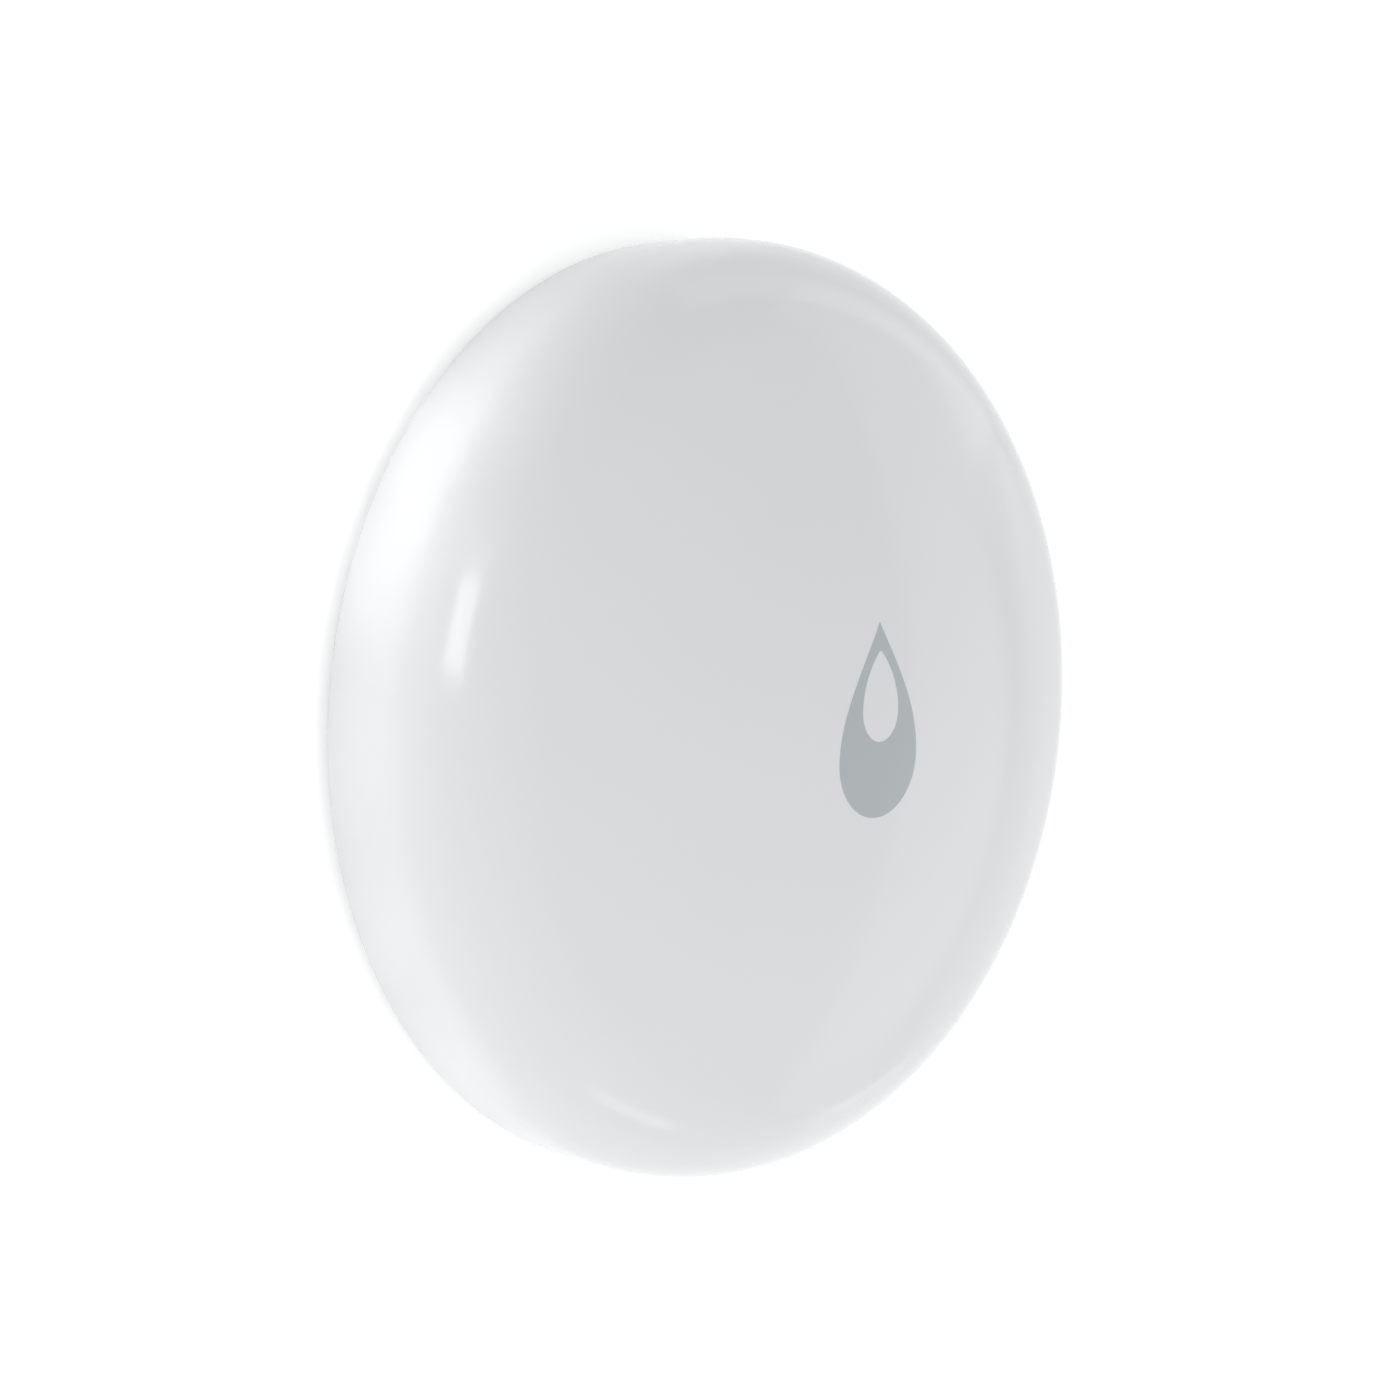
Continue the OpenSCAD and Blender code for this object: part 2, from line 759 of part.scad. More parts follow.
// Four legs of the switch, soldered to the board
module switch_terminals() {
    color([0.78, 0.79, 0.80])
        for (side = [-1, 1], y = [-1, 1])
            block(side * (switch_w / 2 + 0.5), y * switch_w / 4, z_top, [1, 0.8, 0.2]);
}

// Stem of the switch with the flange that keeps it in
module switch_stem() {
    flange_z = z_switch - frame_t - slide_gap - flange_t;
    press_room = flange_z - (z_top + switch_floor + dome_rise);
    leg_h = press_room - switch_travel - slide_gap;
    color([0.20, 0.20, 0.22]) {
        translate([0, 0, flange_z])
            cylinder(h = flange_t, r = flange_r);
        translate([0, 0, flange_z])
            cylinder(h = z_stem - flange_z, d = stem_d);
        translate([0, 0, flange_z - leg_h])
            cylinder(h = leg_h + cut, d = stem_d / 2);
    }
}

// Water probes: stainless screws with their heads just above the floor
module probe_screws() {
    color([0.80, 0.81, 0.82])
        around(probe_angles, ring_at)
            translate([0, 0, z_probe])
                pan_screw(probe_head_d, probe_head_h, probe_thread_d, z_post_low - tip_gap - z_probe);
}

// Seals between the probe heads and the base
module probe_seals() {
    color([0.30, 0.31, 0.32])
        around(probe_angles, ring_at)
            ring_seal(
                probe_thread_d / 2 + seal_slack + probe_seal_d / 2,
                z_probe + seal_slack + probe_seal_d / 2,
                probe_seal_d);
}

// Brass posts from the probes to the board, bored from both ends
module probe_posts() {
    color([0.80, 0.66, 0.30])
        around(probe_angles, ring_at)
            difference() {
                translate([0, 0, z_probe_boss])
                    cylinder(h = z_board - z_probe_boss, r = post_r);
                translate([0, 0, z_base])
                    cylinder(h = z_post_low - z_base, d = probe_thread_d + 2 * bore_gap);
                translate([0, 0, z_post_high])
                    cylinder(h = z_top - z_post_high, d = board_thread_d + 2 * bore_gap);
            }
}

// Screws from the board into the brass posts
module board_screws() {
    color([0.78, 0.79, 0.80])
        around(probe_angles, ring_at)
            translate([0, 0, z_top])
                rotate([180, 0, 0])
                    pan_screw(board_head_d, board_head_h, board_thread_d, z_top - z_post_high - tip_gap);
}

// Screws from the base into the shell, hidden under the feet
module housing_screws() {
    color([0.72, 0.73, 0.74])
        around(screw_angles, ring_at)
            translate([0, 0, z_screw])
                pan_screw(housing_head_d, housing_head_h, housing_thread_d, housing_thread_len);
}

// Soft feet with a rounded lower edge
module rubber_feet() {
    foot_r = foot_d / 2;
    color([0.70, 0.71, 0.73])
        around(screw_angles, ring_at)
            rotate_extrude()
                polygon(concat(
                    [[0, 0]],
                    arc(foot_r - edge_cut, edge_cut, edge_cut, -90, 0, 8),
                    [[foot_r, z_base + foot_seat], [0, z_base + foot_seat]]));
}

top_shell();
base();
base_seal();
battery_cover();
cover_seal();
coin_cell();
negative_contact();
positive_contact();
circuit_board();
radio_shield();
radio_chip();
crystal();
chip_antenna();
passives();
status_light();
light_guide();
switch_body();
switch_frame();
switch_dome();
switch_terminals();
switch_stem();
probe_screws();
probe_seals();
probe_posts();
board_screws();
housing_screws();
rubber_feet();
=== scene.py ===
"""Water leak sensor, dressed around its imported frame.

Lengths are in millimetres, which MM turns into metres, and angles in degrees, where nothing else is
said. The frame has its origin on the floor under the middle of the sensor, Z up, and +Y the way the
tip of the drop sign points.
"""
from __future__ import annotations

import logging
from dataclasses import dataclass
from enum import Enum
from math import asin, atan2, cos, degrees, hypot, pi, radians, sin, sqrt, tau

import bpy
from mathutils import Matrix, Vector


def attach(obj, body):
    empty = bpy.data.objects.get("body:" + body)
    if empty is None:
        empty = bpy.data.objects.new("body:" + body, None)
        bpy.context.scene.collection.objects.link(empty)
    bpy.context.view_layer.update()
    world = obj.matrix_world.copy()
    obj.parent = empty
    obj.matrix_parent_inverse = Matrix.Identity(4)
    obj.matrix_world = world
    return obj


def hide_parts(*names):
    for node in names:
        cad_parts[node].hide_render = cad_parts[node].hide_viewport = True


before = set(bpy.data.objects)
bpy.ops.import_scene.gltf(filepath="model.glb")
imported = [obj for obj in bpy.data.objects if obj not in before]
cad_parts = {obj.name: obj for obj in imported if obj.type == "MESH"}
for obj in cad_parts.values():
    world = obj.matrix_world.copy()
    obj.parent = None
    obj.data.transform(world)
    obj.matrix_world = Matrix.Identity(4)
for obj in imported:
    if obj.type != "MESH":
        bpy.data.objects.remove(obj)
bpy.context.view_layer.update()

Thing = bpy.types.Object
Socket = bpy.types.NodeSocket
Pair = tuple[float, float]
Triple = tuple[float, float, float]

LOG = logging.getLogger("leak_sensor")
MM = 0.001
WELD = 1e-7
SEEN_RAYS = ("Is Camera Ray", "Is Glossy Ray", "Is Transmission Ray")
MIDDLE_SPREAD = (0.3, 0.7)
SMOOTH_DETAIL, PLAIN_DETAIL, RICH_DETAIL, FINE_DETAIL = 1.0, 2.0, 3.0, 4.0
WHITE, COOL_WHITE = (1.0, 1.0, 1.0, 1.0), (0.985, 0.995, 1.0, 1.0)
FLAT_WEIGHT = 100
LAMP_AIM, CAMERA_AIM = 7.0, 7.5
PHOTO_PIXELS = 1400.0


class Body(Enum):
    """Bodies of the frame that a piece can ride on."""

    HOUSING = "housing"
    COVER = "cover"


class Join(Enum):
    """Ways to combine a piece with a tool solid."""

    ADD = "UNION"
    CUT = "DIFFERENCE"


class Relief(Enum):
    """Kinds of fine relief on a surface."""

    POLISHED = "polished"
    SPARKED = "sparked"
    BRUSHED = "brushed"
    RINGED = "ringed"


# Modelling by hand

def enter(mode: str) -> None:
    """Enters a mode of the active object.

    Args:
        mode: Name of the mode.
    """
    bpy.ops.object.mode_set(mode=mode)


def select_whole() -> None:
    """Selects the whole mesh in edit mode."""
    bpy.ops.mesh.select_all(action="SELECT")


def clear_selection() -> None:
    """Deselects everything, because an operator acts on all that is selected."""
    if bpy.context.object is not None and bpy.context.object.mode != "OBJECT":
        enter("OBJECT")
    bpy.ops.object.select_all(action="DESELECT")


def take(piece: Thing) -> None:
    """Makes a piece the only selected and active object.

    Args:
        piece: The object to work on.
    """
    clear_selection()
    piece.select_set(True)
    bpy.context.view_layer.objects.active = piece


def weld(gap: float = WELD) -> None:
    """Selects the whole mesh in edit mode and merges vertices that lie close together.

    Args:
        gap: Greatest distance of vertices that are merged, in metres.
    """
    select_whole()
    bpy.ops.mesh.remove_doubles(threshold=gap)


def draw_line(name: str, points: list[Vector]) -> Thing:
    """Draws a line by extruding one vertex from point to point, and stays in edit mode.

    Args:
        name: Name of the new object.
        points: Points of the line in metres. A last point equal to the first closes it.

    Returns:
        The new object, in edit mode with everything selected.
    """
    clear_selection()
    bpy.ops.mesh.primitive_plane_add(size=MM, location=(0, 0, 0))
    piece = bpy.context.object
    piece.name = piece.data.name = name
    enter("EDIT")
    select_whole()
    bpy.ops.mesh.merge(type="CENTER")
    bpy.ops.transform.translate(value=points[0])
    for here, there in zip(points, points[1:]):
        bpy.ops.mesh.extrude_vertices_move(TRANSFORM_OT_translate={"value": there - here})
    weld()
    return piece


def turn(name: str, outline: list[Pair], steps: int, span: float = tau) -> Thing:
    """Turns an outline of radius and height about the Z axis.

    Args:
        name: Name of the new object.
        outline: Points of radius and height.
        steps: Number of steps round the axis.
        span: Angle of the turn in radians.

    Returns:
        The turned piece, closed and facing outwards, in object mode.
    """
    piece = draw_line(name, [Vector((r, 0.0, z)) * MM for r, z in outline])
    bpy.ops.mesh.spin(steps=steps, angle=span, center=(0, 0, 0), axis=(0, 0, 1))
    weld()
    if span < tau:
        bpy.ops.mesh.select_all(action="DESELECT")
        bpy.ops.mesh.select_non_manifold()
        bpy.ops.mesh.edge_face_add()
        select_whole()
    bpy.ops.mesh.normals_make_consistent(inside=False)
    enter("OBJECT")
    return piece


def rod(name: str, place: Pair, low: float, high: float, radius: float, sides: int = 64) -> Thing:
    """Makes an upright rod, as a tool for adding or cutting.

    Args:
        name: Name of the new object.
        place: X and Y of the axis.
        low: Height of the lower end.
        high: Height of the upper end.
        radius: Radius.
        sides: Number of sides.

    Returns:
        The rod, with its place in its mesh.
    """
    clear_selection()
    bpy.ops.mesh.primitive_cylinder_add(
        vertices=sides, radius=radius * MM, depth=(high - low) * MM,
        location=(place[0] * MM, place[1] * MM, (low + high) / 2 * MM))
    piece = bpy.context.object
    piece.name = piece.data.name = name
    bpy.ops.object.transform_apply()
    return piece


def modify(piece: Thing, kind: str, **settings: object) -> None:
    """Adds a modifier to a piece and applies it.

    Args:
        piece: The piece.
        kind: Type of the modifier.
        settings: Properties of the modifier and their values.
    """
    step = piece.modifiers.new(kind, kind)
    for key, value in settings.items():
        setattr(step, key, value)
    take(piece)
    bpy.ops.object.modifier_apply(modifier=step.name)


def combine(piece: Thing, tool: Thing, way: Join) -> None:
    """Adds a tool solid to a piece or cuts it away, and deletes the tool.

    Args:
        piece: The piece that stays.
        tool: The solid that is used up.
        way: Whether the tool is added or cut.
    """
    modify(piece, "BOOLEAN", operation=way.value, solver="EXACT", object=tool)
    bpy.data.objects.remove(tool)


def copies_round(piece: Thing, angles: tuple[float, ...]) -> Thing:
    """Copies a piece round the Z axis and joins the copies into one object.

    Args:
        piece: The piece as it stands at angle zero, which is used up.
        angles: Angles of the copies.

    Returns:
        The joined object, under the name of the piece.
    """
    name = piece.name
    made = []
    for angle in angles:
        take(piece)
        bpy.ops.object.duplicate(linked=False)
        copy = bpy.context.object
        copy.data.transform(Matrix.Rotation(radians(angle), 4, "Z"))
        made.append(copy)
    bpy.data.objects.remove(piece)
    clear_selection()
    for copy in made:
        copy.select_set(True)
    bpy.context.view_layer.objects.active = made[0]
    bpy.ops.object.join()
    joined = bpy.context.object
    joined.name = joined.data.name = name
    return joined


def round_edges(piece: Thing, width: float) -> None:
    """Rounds the sharp edges of a piece with a bevel that is applied.

    Args:
        piece: The piece.
        width: Width of the rounding.
    """
    least_angle, segments = 35.0, 3
    modify(piece, "BEVEL", width=width * MM, segments=segments, limit_method="ANGLE",
           angle_limit=radians(least_angle), miter_outer="MITER_ARC")


def smooth(piece: Thing, angle: float = 32.0) -> None:
    """Shades a piece smooth up to an angle.

    Args:
        piece: The piece.
        angle: Greatest angle of a smooth edge.
    """
    take(piece)
    bpy.ops.object.shade_smooth_by_angle(angle=radians(angle))


def keep_flats(piece: Thing) -> None:
    """Keeps the flat faces of a smooth piece flat beside their rounded edges.

    Args:
        piece: The piece, already shaded smooth.
    """
    modify(piece, "WEIGHTED_NORMAL", weight=FLAT_WEIGHT, keep_sharp=True)


def arc(centre: Pair, radius: float, start: float, end: float, steps: int) -> list[Pair]:
    """Gives the points of an arc in the plane of radius and height.

    Args:
        centre: Centre of the arc.
        radius: Radius of the arc.
        start: First angle.
        end: Last angle.
        steps: Number of steps.

    Returns:
        The points from start to end.
    """
    turns = [radians(start + (end - start) * i / steps) for i in range(steps + 1)]
    return [(centre[0] + radius * cos(a), centre[1] + radius * sin(a)) for a in turns]


# Finishes

def set_inputs(node: bpy.types.Node, values: dict[str, object]) -> None:
    """Sets constants on the inputs of a node.

    Args:
        node: The node.
        values: Values by the names of the inputs.
    """
    for name, value in values.items():
        node.inputs[name].default_value = value


class Desk:
    """Node tree of one material, with short ways to add the nodes that the finishes share."""

    def __init__(self, name: str) -> None:
        """Starts a material with its shader.

        Args:
            name: Name of the material.
        """
        self.material = bpy.data.materials.new(name)
        self.material.use_nodes = True
        self.tree = self.material.node_tree
        self.shader = self.tree.nodes["Principled BSDF"]
        self.place = self.add("ShaderNodeTexCoord").outputs["Object"]

    def add(self, kind: str, **settings: object) -> bpy.types.Node:
        """Adds a node.

        Args:
            kind: Type of the node.
            settings: Properties of the node and their values.

        Returns:
            The node.
        """
        node = self.tree.nodes.new(kind)
        for key, value in settings.items():
            setattr(node, key, value)
        return node

    def link(self, source: Socket, target: Socket) -> None:
        """Links two sockets.

        Args:
            source: Output that gives a value.
            target: Input that takes it.
        """
        self.tree.links.new(source, target)

    def noise(self, size: float, detail: float = PLAIN_DETAIL,
              place: Socket | None = None) -> Socket:
        """Adds a noise.

        Args:
            size: Size of its features.
            detail: Octaves of finer detail.
            place: Coordinates, or None for the plain place on the piece.

        Returns:
            The value of the noise, about 0 to 1.
        """
        node = self.add("ShaderNodeTexNoise")
        set_inputs(node, {"Scale": 1.0 / (size * MM), "Detail": detail})
        self.link(place or self.place, node.inputs["Vector"])
        return node.outputs["Fac"]

    def blend(self, value: Socket, low: Triple, high: Triple) -> Socket:
        """Turns a value into a colour between two.

        Args:
            value: The value.
            low: Colour at the low end of the middle spread.
            high: Colour at its high end.

        Returns:
            The colour.
        """
        node = self.add("ShaderNodeValToRGB")
        ends = node.color_ramp.elements
        ends[0].position, ends[1].position = MIDDLE_SPREAD
        ends[0].color, ends[1].color = (*low, 1.0), (*high, 1.0)
        self.link(value, node.inputs["Fac"])
        return node.outputs["Color"]

    def swing(self, value: Socket, low: float, high: float) -> Socket:
        """Maps a value from the middle of its range to a range of its own.

        Args:
            value: The value.
            low: Result at the low end of the middle spread.
            high: Result at its high end.

        Returns:
            The mapped value.
        """
        node = self.add("ShaderNodeMapRange")
        start, end = MIDDLE_SPREAD
        set_inputs(node, {"From Min": start, "From Max": end, "To Min": low, "To Max": high})
        self.link(value, node.inputs["Value"])
        return node.outputs["Result"]

    def relief(self, height: Socket, depth: float) -> None:
        """Gives the surface a fine relief.

        Args:
            height: Height pattern, about 0 to 1.
            depth: Depth of the pattern.
        """
        node = self.add("ShaderNodeBump")
        set_inputs(node, {"Strength": 1.0, "Distance": depth * MM})
        self.link(height, node.inputs["Height"])
        self.link(node.outputs["Normal"], self.shader.inputs["Normal"])


@dataclass(frozen=True)
class Finish:
    """A surface finish: its colour, its gloss and its fine relief.

    Attributes:
        name: Name of the finish, and of its material with an ending.
        colour: Colour where the tone is lightest.
        shade: Share of the colour that is left where the tone is darkest.
        tone: Size of the tone's patches.
        rough: Least and greatest roughness.
        relief: Kind of the fine relief.
        grain: Size of the relief's features.
        depth: Depth of the relief.
        metal: Share of metal in the surface.
        ior: Index of refraction.
        clear: Share of light that passes through.
    """

    name: str
    colour: Triple
    shade: float = 0.94
    tone: float = 4.0
    rough: Pair = (0.4, 0.5)
    relief: Relief = Relief.SPARKED
    grain: float = 0.12
    depth: float = 0.004
    metal: float = 0.0
    ior: float = 1.5
    clear: float = 0.0

    def pattern(self, desk: Desk) -> Socket:
        """Gives the height pattern of the relief.

        Args:
            desk: Node tree of the material.

        Returns:
            The height pattern.
        """
        if self.relief is Relief.BRUSHED:
            along = desk.add("ShaderNodeMapping")
            set_inputs(along, {"Scale": (0.05, 1.0, 1.0)})
            desk.link(desk.place, along.inputs["Vector"])
            return desk.noise(self.grain, RICH_DETAIL, along.outputs["Vector"])
        if self.relief is Relief.RINGED:
            rings = desk.add("ShaderNodeTexWave", wave_type="RINGS", rings_direction="Z")
            set_inputs(rings, {"Scale": 1.0 / (self.grain * MM * tau),
                               "Distortion": 1.5, "Detail": SMOOTH_DETAIL})
            desk.link(desk.place, rings.inputs["Vector"])
            return rings.outputs["Fac"]
        polished = self.relief is Relief.POLISHED
        return desk.noise(self.grain, SMOOTH_DETAIL if polished else FINE_DETAIL)

    def colouring(self, desk: Desk) -> Socket:
        """Gives the colour over the surface.

        Args:
            desk: Node tree of the material.

        Returns:
            The colour.
        """
        dark = tuple(channel * self.shade for channel in self.colour)
        return desk.blend(desk.noise(self.tone, RICH_DETAIL), dark, self.colour)

    def material(self) -> bpy.types.Material:
        """Builds the material, or gives the one that is already there.

        Returns:
            The material of this finish.
        """
        name = f"{self.name}_finish"
        if name in bpy.data.materials:
            return bpy.data.materials[name]
        desk = Desk(name)
        gloss_share = 0.6
        gloss = desk.swing(desk.noise(self.tone * gloss_share), *self.rough)
        set_inputs(desk.shader, {
            "Metallic": self.metal, "IOR": self.ior, "Transmission Weight": self.clear})
        desk.link(self.colouring(desk), desk.shader.inputs["Base Color"])
        desk.link(gloss, desk.shader.inputs["Roughness"])
        desk.relief(self.pattern(desk), self.depth)
        return desk.material

    def dress(self, piece: Thing) -> None:
        """Gives a piece this finish alone.

        Args:
            piece: The piece, a new one or a node of the frame.
        """
        piece.data.materials.clear()
        piece.data.materials.append(self.material())


@dataclass(frozen=True)
class Metal(Finish):
    """Bare metal, brushed where nothing else is said."""

    relief: Relief = Relief.BRUSHED
    depth: float = 0.002
    metal: float = 1.0


@dataclass(frozen=True)
class BoardMask(Finish):
    """Green solder mask with paler copper tracks under it."""

    def colouring(self, desk: Desk) -> Socket:
        """Gives the colour of mask and tracks.

        Args:
            desk: Node tree of the material.

        Returns:
            The colour.
        """
        unit, same, darker, paler = 3.0, 1.0, 0.95, 1.28
        mask, far_mask, copper = ((*(channel * share for channel in self.colour), 1.0)
                                  for share in (same, darker, paler))
        tracks = desk.add("ShaderNodeTexBrick")
        set_inputs(tracks, {
            "Scale": 1.0 / (unit * MM), "Brick Width": 4.0, "Row Height": 0.36,
            "Mortar Size": 0.028, "Mortar Smooth": 0.2,
            "Color1": mask, "Color2": far_mask, "Mortar": copper})
        desk.link(desk.place, tracks.inputs["Vector"])
        return tracks.outputs["Color"]


SHELL_WHITE = Finish("shell_white", (0.862, 0.874, 0.882), shade=0.992, tone=9.0,
                     rough=(0.12, 0.15), relief=Relief.POLISHED, grain=3.0, depth=0.0008)
BASE_WHITE = Finish("base_white", (0.745, 0.755, 0.765), shade=0.965, tone=5.0, rough=(0.42, 0.52),
                    grain=0.16, depth=0.010)
COVER_WHITE = Finish("cover_white", (0.715, 0.726, 0.738), shade=0.965, rough=(0.36, 0.46),
                     grain=0.14, depth=0.008)
SIGN_GREY = Finish("sign_grey", (0.508, 0.540, 0.559), shade=0.99, tone=3.0, rough=(0.20, 0.23),
                   relief=Relief.POLISHED, grain=1.5, depth=0.0003)
SEAL_GREY = Finish("seal_grey", (0.24, 0.25, 0.265), shade=0.88, tone=1.5, rough=(0.62, 0.74),
                   grain=0.08, depth=0.006)
FOOT_GREY = Finish("foot_grey", (0.40, 0.415, 0.43), shade=0.90, tone=1.2, rough=(0.68, 0.82),
                   grain=0.10, depth=0.012)
CELL_STEEL = Metal("cell_steel", (0.66, 0.67, 0.68), shade=0.92, tone=3.0, rough=(0.20, 0.32),
                   relief=Relief.RINGED, grain=0.08)
CONTACT_BRONZE = Metal("contact_bronze", (0.78, 0.68, 0.45), shade=0.88, tone=1.0,
                       rough=(0.24, 0.36), grain=0.06)
BOARD_GREEN = BoardMask("board_green", (0.018, 0.125, 0.062), rough=(0.25, 0.34),
                        relief=Relief.POLISHED, grain=0.8)
SHEET_TIN = Metal("sheet_tin", (0.70, 0.71, 0.72), shade=0.90, tone=1.4, rough=(0.26, 0.40),
                  grain=0.05)
CHIP_BLACK = Finish("chip_black", (0.028, 0.028, 0.031), shade=0.75, tone=0.4, rough=(0.46, 0.60),
                    grain=0.05)
CERAMIC_PALE = Finish("ceramic_pale", (0.72, 0.69, 0.60), shade=0.93, tone=0.8, rough=(0.48, 0.60),
                      grain=0.06, depth=0.003)
CERAMIC_BROWN = Finish("ceramic_brown", (0.33, 0.24, 0.16), shade=0.80, tone=0.4,
                       rough=(0.42, 0.56), grain=0.05, depth=0.003)
LIGHT_CASE = Finish("light_case", (0.80, 0.77, 0.58), tone=0.5, rough=(0.28, 0.36),
                    relief=Relief.POLISHED, grain=0.3, depth=0.001)
GUIDE_CLEAR = Finish("guide_clear", (0.93, 0.95, 0.97), shade=0.98, tone=1.5, rough=(0.05, 0.09),
                     relief=Relief.POLISHED, grain=1.0, depth=0.001, ior=1.58, clear=1.0)
STEM_GREY = Finish("stem_grey", (0.055, 0.056, 0.060), shade=0.85, tone=0.6,
                   grain=0.06, depth=0.003)
PROBE_STEEL = Metal("probe_steel", (0.64, 0.64, 0.635), shade=0.90, tone=0.7, rough=(0.16, 0.28),
                    grain=0.04, depth=0.0015)
POST_BRASS = Metal("post_brass", (0.80, 0.60, 0.26), shade=0.88, tone=0.9, rough=(0.22, 0.34),
                   grain=0.05)
SCREW_STEEL = Metal("screw_steel", (0.52, 0.525, 0.53), shade=0.88, tone=0.7, rough=(0.28, 0.40),
                    grain=0.04)

NODE_FINISHES: dict[str, Finish] = {
    "base": BASE_WHITE, "base_seal": SEAL_GREY, "cover_seal": SEAL_GREY, "coin_cell": CELL_STEEL,
    "negative_contact": CONTACT_BRONZE, "positive_contact": CONTACT_BRONZE,
    "circuit_board": BOARD_GREEN, "radio_shield": SHEET_TIN, "radio_chip": CHIP_BLACK,
    "crystal": SHEET_TIN, "chip_antenna": CERAMIC_PALE, "passives": CERAMIC_BROWN,
    "status_light": LIGHT_CASE, "light_guide": GUIDE_CLEAR, "switch_body": CHIP_BLACK,
    "switch_frame": SHEET_TIN, "switch_dome": SHEET_TIN, "switch_terminals": SHEET_TIN,
    "switch_stem": STEM_GREY, "probe_seals": SEAL_GREY, "probe_posts": POST_BRASS,
    "board_screws": SCREW_STEEL, "housing_screws": SCREW_STEEL,
}


def settle(piece: Thing, finish: Finish, body: Body,
           node: str | None = None) -> None:
    """Finishes a new piece: its material, its body and the node that it stands for.

    Args:
        piece: The new piece.
        finish: Its finish.
        body: The body that it rides on.
        node: Node of the frame that it replaces, if any.
    """
    finish.dress(piece)
    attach(piece, body.value)
    if node is not None:
        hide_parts(node)
    LOG.info("%s: %d faces on %s", piece.name, len(piece.data.polygons), body.value)


# Sub-assemblies

